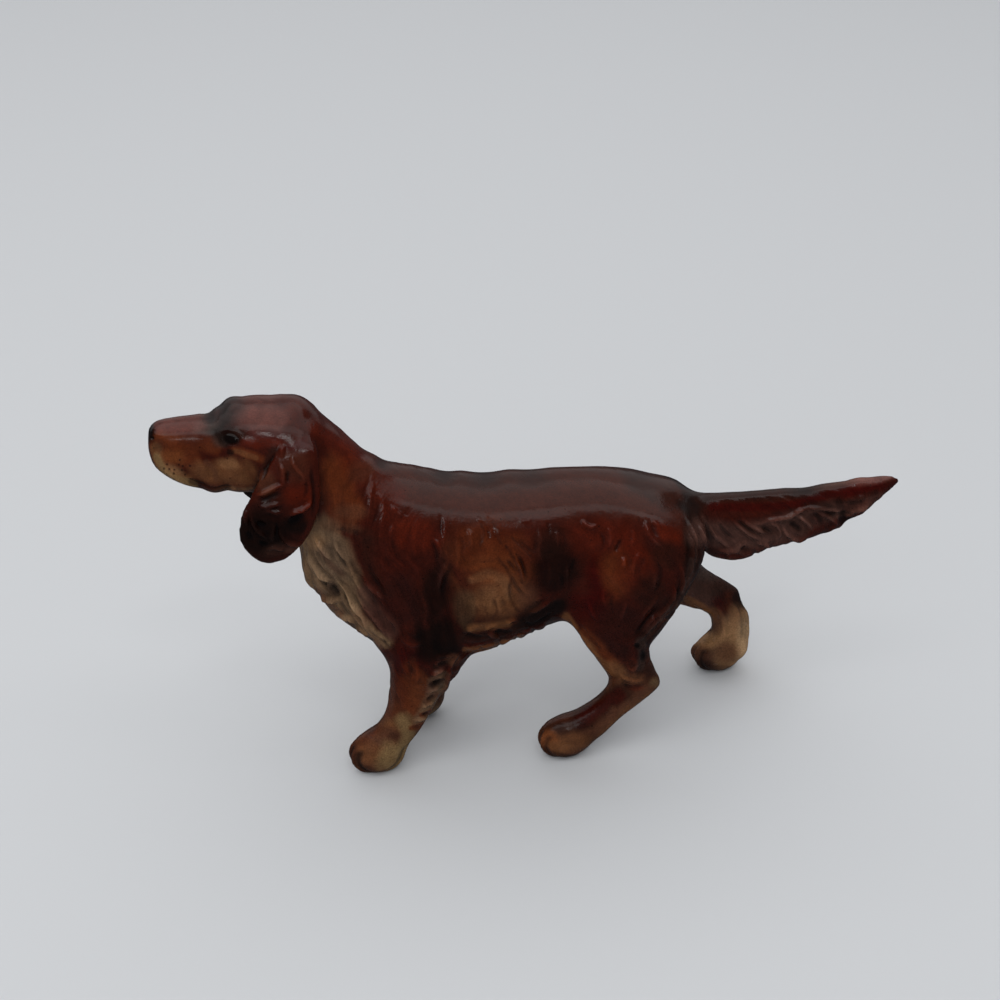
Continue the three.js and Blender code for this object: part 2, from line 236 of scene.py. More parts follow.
HEAD = [
    station((NOSE_TIP + 0.8, 101), (NOSE_TIP + 0.2, 96.6), 2.3),
    station((NOSE_TIP + 2.6, MUZZLE_TOP - 0.5), (NOSE_TIP + 1.2, 92.4), MUZZLE_HALF - 1.9, 0, 2.4),
    station((-92, MUZZLE_TOP - 0.1), (-94.3, JAW + 4), MUZZLE_HALF - 0.5, 0, 2.5),
    station((-88, MUZZLE_TOP), (-90, JAW + 1.6), MUZZLE_HALF, 0, 2.6),
    station((-84.8, MUZZLE_TOP + 0.3), (-85.6, JAW + 0.5), MUZZLE_HALF + 0.9, 0, 2.5),
    station((-81.8, MUZZLE_TOP + 1.5), (-81.6, JAW), SKULL_HALF - 2.7, 0, 2.4),
    station((-79.4, SKULL_TOP - 0.5), (-78, JAW + 0.2), SKULL_HALF - 1.2, 0, 2.3),
    station((-75, SKULL_TOP), (-73.5, JAW), SKULL_HALF - 0.2),
    station((-70, SKULL_TOP - 0.4), (-69, JAW - 0.5), SKULL_HALF),
    station((-64.6, SKULL_TOP - 1.2), (-64.6, JAW + 0.5), SKULL_HALF - 0.6),
    station((-60.8, SKULL_TOP - 4), (-61.4, JAW + 4), SKULL_HALF - 3.2),
]


def ear_stations(side):
    def out(distance):
        return side * (NECK_HALF + distance)

    half = EAR_HALF
    return [
        station((-69, EAR_TOP - 0.2), (-62, EAR_TOP + 0.2), half - 0.7, out(-3.2), 2.6),
        station((-71, EAR_TOP - 2.8), (-60.7, EAR_TOP - 2), half - 0.2, out(-1.2), 2.6),
        station((-74, EAR_TOP - 7), (-60.4, EAR_TOP - 6.4), half, out(0.4), 2.6),
        station((-77, EAR_TOP - 12), (-60.6, EAR_TOP - 11.4), half, out(1.5), 2.6),
        station((-79.3, EAR_TOP - 17), (-61.4, EAR_TOP - 16.4), half + 0.1, out(2), 2.6),
        station((-80, EAR_TIP + 8), (-63, EAR_TIP + 9), half, out(2), 2.6),
        station((-78.4, EAR_TIP + 3.8), (-65.4, EAR_TIP + 5), half - 0.2, out(1.9), 2.5),
        station((-76, EAR_TIP + 1), (-68.6, EAR_TIP + 1.6), half - 0.9, out(1.7), 2.4),
        station((-74.2, EAR_TIP), (-71, EAR_TIP + 0.3), half - 1.5, out(1.6)),
    ]


TAIL = [
    station((30, TAIL_SET + 0.5), (33, TAIL_SET - 8), TAIL_HALF + 1.4),
    station((36, TAIL_SET + 0.5), (37.2, TAIL_SET - 14.5), TAIL_HALF + 0.8),
    station((42.4, TAIL_SET + 0.2), (41.6, TAIL_SET - TAIL_DEPTH), TAIL_HALF + 0.2),
    station((50, TAIL_SET - 0.1), (49.8, TAIL_SET - TAIL_DEPTH - 0.6), TAIL_HALF),
    station((58, TAIL_SET - 0.2), (58.6, TAIL_SET - TAIL_DEPTH + 1.6), TAIL_HALF - 0.1),
    station((66, TAIL_SET - 0.2), (67, TAIL_SET - TAIL_DEPTH + 3.4), TAIL_HALF - 0.3),
    station((74, TAIL_SET + 0.2), (75.4, TAIL_SET - TAIL_DEPTH + 5.4), TAIL_HALF - 0.7),
    station((81.5, TAIL_SET + 0.6), (82.4, TAIL_SET - 8.4), TAIL_HALF - 1.3),
    station((TAIL_TIP - 3.6, TAIL_SET + 0.9), (TAIL_TIP - 3.6, TAIL_SET - 4.6), TAIL_HALF - 2.2),
    station((TAIL_TIP, TAIL_SET), (TAIL_TIP, TAIL_SET - 1.6), TAIL_HALF - 3.4),
]

PAW_LENGTH = 14.6
PAW_WIDTH = 9.4
PAW_HEIGHT = 11.8
SOLE_DEPTH = 1.0
PAWS = {
    "foreleg_left": (-49.4, -10.0),
    "foreleg_right": (-35.6, 10.0),
    "hind_leg_left": (0.4, -13.0),
    "hind_leg_right": (52.2, 15.0),
}

# Front edge, rear edge, half the width, and the lean in from the paw, from the top down
LEGS = {
    "foreleg_left": [
        ((0, 67), (15, 68), 4.4, 3.2),
        ((-1.6, 58), (19, 60), 6.4, -0.6),
        ((-0.8, 46), (22.4, 47), 7, -1.1),
        ((2.9, 37), (23.2, 37.5), 6.3, -0.8),
        ((3.9, 30), (21.3, 30.6), 5.3, -0.4),
        ((3.4, 24), (17.6, 24.8), 4.4, 0),
        ((2.4, 18.4), (14.4, 18.4), 3.9, 0),
        ((0.2, 14.2), (11.8, 13.2), 3.9, 0),
        ((-2.4, 11.4), (8.6, 8.6), 4.2, 0),
        ((-4, 8), (5, 4.4), 4.2, 0),
    ],
    "foreleg_right": [
        ((-13.8, 67), (1.2, 68), 4.4, -4),
        ((-15.4, 58), (7, 60), 6.4, 0.2),
        ((-12.8, 46), (10.2, 47), 7, -0.6),
        ((-8.4, 36), (12, 37), 6.1, -0.3),
        ((-6, 28), (11.6, 29), 5.1, 0),
        ((-4.2, 21), (10.8, 21.4), 4.4, 0),
        ((-3.2, 15), (9.4, 14.4), 4.1, 0),
        ((-3.8, 10.6), (7.6, 8.6), 4.3, 0),
        ((-4.6, 7.6), (4.8, 4), 4.4, 0),
    ],
    "hind_leg_left": [
        ((5, 66.5), (26, 68), 4.4, 6.7),
        ((0.8, 60.5), (33, 63.6), 6.7, 3.1),
        ((-2, 52.5), (33, 56), 8, 2.4),
        ((-1, 45), (29.4, 47.3), 7.6, 1.4),
        ((2, 39.6), (24.8, 40.2), 6.8, 0.8),
        ((5.2, 34), (21.5, 35), 5.8, 0.3),
        ((8.2, 29), (21.4, 31), 5.1, 0.1),
        ((10.6, 24.8), (23.1, 25.8), 4.3, 0),
        ((10.8, 20.8), (24.6, 20.8), 4.1, 0),
        ((8.8, 17.6), (20.4, 16.2), 3.8, 0),
        ((5.8, 15), (15.2, 11.8), 3.9, 0),
        ((2.4, 13), (9.8, 6), 4.2, 0),
        ((-1, 11), (5.4, 3.4), 4.4, 0),
    ],
    "hind_leg_right": [
        ((-46.4, 66), (-25.4, 67), 4.4, -8.6),
        ((-48.4, 57), (-17, 63.2), 7, -5),
        ((-44.4, 47), (-14.2, 54), 7.8, -3.6),
        ((-36, 38), (-12, 44.6), 6.8, -2.6),
        ((-24.4, 30.6), (-8.4, 37.8), 5.5, -1.6),
        ((-15.8, 26.4), (-4.2, 33.6), 4.8, -0.8),
        ((-9.6, 23.4), (1, 29.4), 4.4, -0.2),
        ((-5.2, 20.8), (5, 25.6), 4.3, 0),
        ((-3.2, 17.8), (7.2, 19.2), 4.2, 0),
        ((-2.6, 14.6), (8.2, 13.6), 4.2, 0),
        ((-3, 11.2), (8, 9), 4.5, 0),
        ((-3.4, 8.4), (6, 5), 4.5, 0),
    ],
}


def leg_stations(name):
    x, y = PAWS[name]
    return [station((x + front[0], front[1]), (x + rear[0], rear[1]), half, y + lean)
            for front, rear, half, lean in LEGS[name]]


def build_skin():
    """The skin's level set, and the fields of the forms that it is made of."""
    forms = {"trunk": swept_field(TRUNK), "neck": swept_field(NECK), "head": swept_field(HEAD)}
    skin = whole_field()
    blend_in(skin, forms["trunk"], 0.1)
    blend_in(skin, forms["neck"], 5.0)
    blend_in(skin, forms["head"], 3.0)
    for name in LEGS:
        leg = swept_field(leg_stations(name))
        x, y = PAWS[name]
        paw = ellipsoid_field((x, y, (PAW_HEIGHT - SOLE_DEPTH) / 2),
                              (PAW_LENGTH / 2, PAW_WIDTH / 2, (PAW_HEIGHT + SOLE_DEPTH) / 2))
        blend_in(skin, leg, 4.0)
        blend_in(skin, paw, 2.0)
        forms[name] = leg
    forms["tail"] = swept_field(TAIL)
    blend_in(skin, forms["tail"], 3.0)
    for name, side in (("ear_left", -1), ("ear_right", 1)):
        forms[name] = swept_field(ear_stations(side))
        blend_in(skin, forms[name], 0.8)
    ground = skin.coordinates()[2]
    skin.values = np.maximum(skin.values, -ground).astype(np.float32)
    return skin, forms


def skin_mesh(skin):
    """Points and triangles of the skin's surface, in millimetres."""
    grid = openvdb.FloatGrid()
    grid.background = float(FAR)
    grid.transform = openvdb.createLinearTransform(voxelSize=VOXEL)
    grid.copyFromArray(skin.values, ijk=tuple(int(i) for i in LOW_INDEX))
    points, triangles, quads = grid.convertToPolygons(0.0, 0.0)
    halves = np.vstack([quads[:, [0, 1, 2]], quads[:, [0, 2, 3]]])
    faces = np.vstack([halves, triangles]) if len(triangles) else halves
    return points.astype(float), faces.astype(int)


# Meshes

def neighbour_mean(values, faces, count):
    """For each vertex the mean of its neighbours' rows."""
    total = np.zeros((count, values.shape[1]))
    weight = np.zeros(count)
    for a, b in ((0, 1), (1, 2), (2, 0)):
        for near, far in ((a, b), (b, a)):
            for k in range(values.shape[1]):
                total[:, k] += np.bincount(faces[:, near], values[faces[:, far], k], count)
            weight += np.bincount(faces[:, near], minlength=count)
    return total / np.maximum(weight, 1)[:, None]


def relax(points, faces, passes, share=0.5, where=None):
    """Moves each vertex a share of the way to the middle of its neighbours, again and again."""
    for _ in range(passes):
        moved = neighbour_mean(points, faces, len(points)) - points
        if where is not None:
            moved *= where[:, None]
        points = points + share * moved
    return points


def vertex_normals(points, faces):
    corners = points[faces]
    across = np.cross(corners[:, 1] - corners[:, 0], corners[:, 2] - corners[:, 0])
    normals = np.zeros_like(points)
    for k in range(3):
        for axis in range(3):
            normals[:, axis] += np.bincount(faces[:, k], across[:, axis], len(points))
    return normals / np.maximum(np.linalg.norm(normals, axis=1), 1e-12)[:, None]


def outward(points, faces):
    """The faces, turned so that they look out of the form."""
    corners = points[faces]
    volume = np.einsum("ij,ij->i", corners[:, 0], np.cross(corners[:, 1], corners[:, 2])).sum()
    return faces if volume > 0 else faces[:, ::-1]


def edge_numbers(faces, count):
    """The mesh's edges as vertex pairs, and for each face the numbers of its three edges."""
    pairs = np.sort(faces[:, [[0, 1], [1, 2], [2, 0]]], axis=2).reshape(-1, 2)
    keys, numbers = np.unique(pairs[:, 0] * count + pairs[:, 1], return_inverse=True)
    return np.stack([keys // count, keys % count], axis=1), numbers.reshape(-1, 3)


def refined(points, faces, where):
    """Splits each face inside a region into four, and closes the border with halved faces."""
    edges, numbers = edge_numbers(faces, len(points))
    split = where[edges].all(axis=1)
    fresh = np.full(len(edges), -1)
    fresh[split] = len(points) + np.arange(split.sum())
    middles = points[edges[split]].mean(axis=1)
    cut = fresh[numbers]
    hits = (cut >= 0).sum(axis=1)
    whole = faces[hits == 0]
    a, b, c = faces[hits == 3].T
    ab, bc, ca = cut[hits == 3].T
    quarters = [np.stack(corners, axis=1) for corners in
                ((a, ab, ca), (ab, b, bc), (ca, bc, c), (ab, bc, ca))]
    rolled = []
    for k in range(3):
        chosen = (hits == 1) & (cut[:, k] >= 0)
        start, end, far = (faces[chosen][:, (k + step) % 3] for step in range(3))
        middle = cut[chosen, k]
        rolled += [np.stack([start, middle, far], axis=1), np.stack([middle, end, far], axis=1)]
    return np.vstack([points, middles]), np.vstack([whole] + quarters + rolled)


# A cut that passes this near to a vertex, in millimetres, goes through it
SLIVER = 0.16 * VOXEL


def parted(table, faces, labels, scalar, old, new):
    """Cuts the faces of the piece old where scalar changes sign; those above zero become new.

    table holds one row of values per vertex. The cut passes through vertices that are close to
    it, so that it leaves no slivers."""
    scalar = np.where(np.abs(scalar) < SLIVER, 0.0, scalar)
    mine = labels == old
    ours = faces[mine]
    edges, numbers = edge_numbers(ours, len(table))
    ends = scalar[edges]
    crossing = ends[:, 0] * ends[:, 1] < 0
    share = ends[crossing, 0] / (ends[crossing, 0] - ends[crossing, 1])
    fresh = np.full(len(edges), -1)
    fresh[crossing] = len(table) + np.arange(crossing.sum())
    start, end = table[edges[crossing, 0]], table[edges[crossing, 1]]
    table = np.vstack([table, start + (end - start) * share[:, None]])
    scalar = np.concatenate([scalar, np.zeros(crossing.sum())])
    cut = fresh[numbers]
    hits = (cut >= 0).sum(axis=1)
    pieces = [ours[hits == 0]]
    for k in range(3):
        order = [(k + step) % 3 for step in range(3)]
        one = (hits == 1) & (cut[:, k] >= 0)
        a, b, c = ours[one][:, order].T
        ab = cut[one, k]
        pieces += [np.stack([a, ab, c], axis=1), np.stack([ab, b, c], axis=1)]
        two = (hits == 2) & (cut[:, order[1]] < 0)
        a, b, c = ours[two][:, order].T
        ab, ca = cut[two, k], cut[two, order[2]]
        pieces += [np.stack([a, ab, ca], axis=1), np.stack([ab, b, c], axis=1),
                   np.stack([ab, c, ca], axis=1)]
    pieces = np.vstack(pieces)
    above = scalar[pieces].sum(axis=1) > 0
    faces = np.vstack([faces[~mine], pieces])
    labels = np.concatenate([labels[~mine], np.where(above, new, old)])
    return table, faces, labels


def largest_part(faces, count):
    """Which faces belong to the largest connected part."""
    group = np.arange(count)
    while True:
        low = group[faces].min(axis=1)
        after = group.copy()
        for k in range(3):
            np.minimum.at(after, faces[:, k], low)
        after = after[after]
        if (after == group).all():
            break
        group = after
    found = group[faces[:, 0]]
    values, counts = np.unique(found, return_counts=True)
    return found == values[counts.argmax()]


def open_loops(faces, count):
    """The rings of vertices around the openings of a piece."""
    starts = faces[:, [0, 1, 2]].ravel()
    ends = faces[:, [1, 2, 0]].ravel()
    forward = starts * count + ends
    lonely = ~np.isin(forward, ends * count + starts)
    following = {}
    for start, end in zip(ends[lonely].tolist(), starts[lonely].tolist()):
        following.setdefault(start, []).append(end)
    loops = []
    while following:
        first = next(iter(following))
        loop = [first]
        while True:
            here = loop[-1]
            onward = following[here]
            after = onward.pop()
            if not onward:
                del following[here]
            if after == first:
                break
            loop.append(after)
        loops.append(loop)
    return loops


# Relief

def cell_corners(low, part):
    """The eight corners of each cell, with their shares of the value at the place in it."""
    for corner in np.ndindex(2, 2, 2):
        weight = np.ones(len(part))
        for k in range(3):
            weight *= part[:, k] if corner[k] else 1 - part[:, k]
        yield low + corner, weight


def distances(points, field):
    """The distance from each point to a form, in millimetres."""
    place = (points - GRID_LOW) / VOXEL - field.first
    size = np.array(field.values.shape)
    inside = np.all((place >= 0) & (place <= size - 1), axis=1)
    place = np.clip(place, 0, size - 1.001)
    low = place.astype(int)
    total = np.zeros(len(place))
    for corner, weight in cell_corners(low, place - low):
        total += weight * field.values[tuple(corner.T)]
    return np.where(inside, total, FAR)


# The reference view: where the camera stands, in millimetres, which way it looks, and its scale
# in a picture that is 1000 pixels wide
CAMERA = np.array([-81.0 + FRAME_SHIFT, -306.5, 269.3])
FORWARD = np.array([0.1763, 0.8295, -0.5299])
ROLL = math.radians(1.13)
LEVEL_RIGHT = np.array([0.978, -0.2079, 0.0])
LEVEL_UP = np.array([0.1102, 0.5183, 0.848])
RIGHT = LEVEL_RIGHT * math.cos(ROLL) + LEVEL_UP * math.sin(ROLL)
UP = -LEVEL_RIGHT * math.sin(ROLL) + LEVEL_UP * math.cos(ROLL)
FOCAL_PIXELS = 1495.0
PICTURE_WIDTH = 1000.0
VIEW_CENTRE = PICTURE_WIDTH / 2
PIXELS_PER_MM = 3.9


def in_view(points, mirrored=True):
    """Pixels at which points appear in the reference view. With mirrored, those of the far side
    are mirrored to the near side first, because both sides are modelled and painted alike."""
    placed = points.copy()
    if mirrored:
        placed[:, 1] = -np.abs(placed[:, 1])
    away = placed - CAMERA
    depth = away @ FORWARD
    across = VIEW_CENTRE + FOCAL_PIXELS * (away @ RIGHT) / depth
    down = VIEW_CENTRE - FOCAL_PIXELS * (away @ UP) / depth
    return np.stack([across, down], axis=1)


def smoothstep(low, high, value):
    """A share that grows from 0 at low to 1 at high. low may be the greater."""
    t = np.clip((value - low) / (high - low), 0, 1)
    return t * t * (3 - 2 * t)


def lattice_value(cell, seed):
    """A repeatable random number from -1 to 1 for each lattice cell."""
    mixed = (cell[:, 0] * 73856093) ^ (cell[:, 1] * 19349663) ^ (cell[:, 2] * 83492791)
    mixed = (mixed + seed * 2654435761) & 0xFFFFFFFF
    mixed = ((mixed ^ (mixed >> 15)) * 2246822519) & 0xFFFFFFFF
    mixed = ((mixed ^ (mixed >> 13)) * 3266489917) & 0xFFFFFFFF
    return ((mixed ^ (mixed >> 16)) & 0xFFFF) / 32767.5 - 1


def noise(points, size, seed=0):
    """Smooth noise from -1 to 1, whose features are size millimetres long along each axis."""
    place = points / np.array(size, dtype=float) + 1000.0
    low = np.floor(place).astype(np.int64)
    part = place - low
    part = part * part * part * (part * (6 * part - 15) + 10)
    total = np.zeros(len(points))
    for corner, weight in cell_corners(low, part):
        total += weight * lattice_value(corner, seed)
    return total


# Reach of a lock in half widths, points added along it, and how its root and tip fade
LOCK_REACH = 0.74
STEPS_PER_POINT = 4
LOCK_ROOT = (-0.02, 0.3)
LOCK_TIP = (1.02, 0.6)
RIDGE_SCALE = 1.9
GROOVE_SCALE = 1.1


def curve(points):
    """Points along a smooth curve through the given ones."""
    rows = np.array(points, dtype=float)
    if len(rows) < 3:
        return rows
    padded = np.vstack([2 * rows[0] - rows[1], rows, 2 * rows[-1] - rows[-2]])
    return catmull_rom(padded, STEPS_PER_POINT)


def along_line(view, line, reach):
    """For the vertices within reach of a line: their indices, distance, and share of its length."""
    low, high = line.min(axis=0) - reach, line.max(axis=0) + reach
    near = np.flatnonzero(np.all((view >= low) & (view <= high), axis=1))
    if not len(near):
        return near, np.zeros(0), np.zeros(0)
    spans = np.linalg.norm(np.diff(line, axis=0), axis=1)
    starts = np.concatenate([[0], np.cumsum(spans)])
    best = np.full(len(near), np.inf)
    share = np.zeros(len(near))
    for k, span in enumerate(spans):
        leg = line[k + 1] - line[k]
        away = view[near] - line[k]
        t = np.clip(away @ leg / max(span * span, 1e-9), 0, 1)
        distance = np.linalg.norm(away - t[:, None] * leg, axis=1)
        closer = distance < best
        best = np.where(closer, distance, best)
        share = np.where(closer, (starts[k] + t * span) / starts[-1], share)
    kept = best < reach
    return near[kept], best[kept], share[kept]


def carve(view, strokes, weight):
    """The height in millimetres that a list of ridges and grooves adds at each vertex."""
    height = np.zeros(len(view))
    for width, amount, points in strokes:
        reach = width * PIXELS_PER_MM * LOCK_REACH
        amount = amount * (RIDGE_SCALE if amount > 0 else GROOVE_SCALE)
        line = curve(points)
        near, distance, share = along_line(view, line, reach)
        ends = smoothstep(*LOCK_ROOT, share) * smoothstep(*LOCK_TIP, share)
        across = distance / (reach * (0.5 + 0.5 * ends))
        bump = np.clip(1 - across ** 2, 0, 1) ** 2
        height[near] += amount * bump * ends
    return height * weight


# Locks of the coat, as (half width in mm, height in mm, points in the reference view). The
# widths and heights are scaled when they are carved.

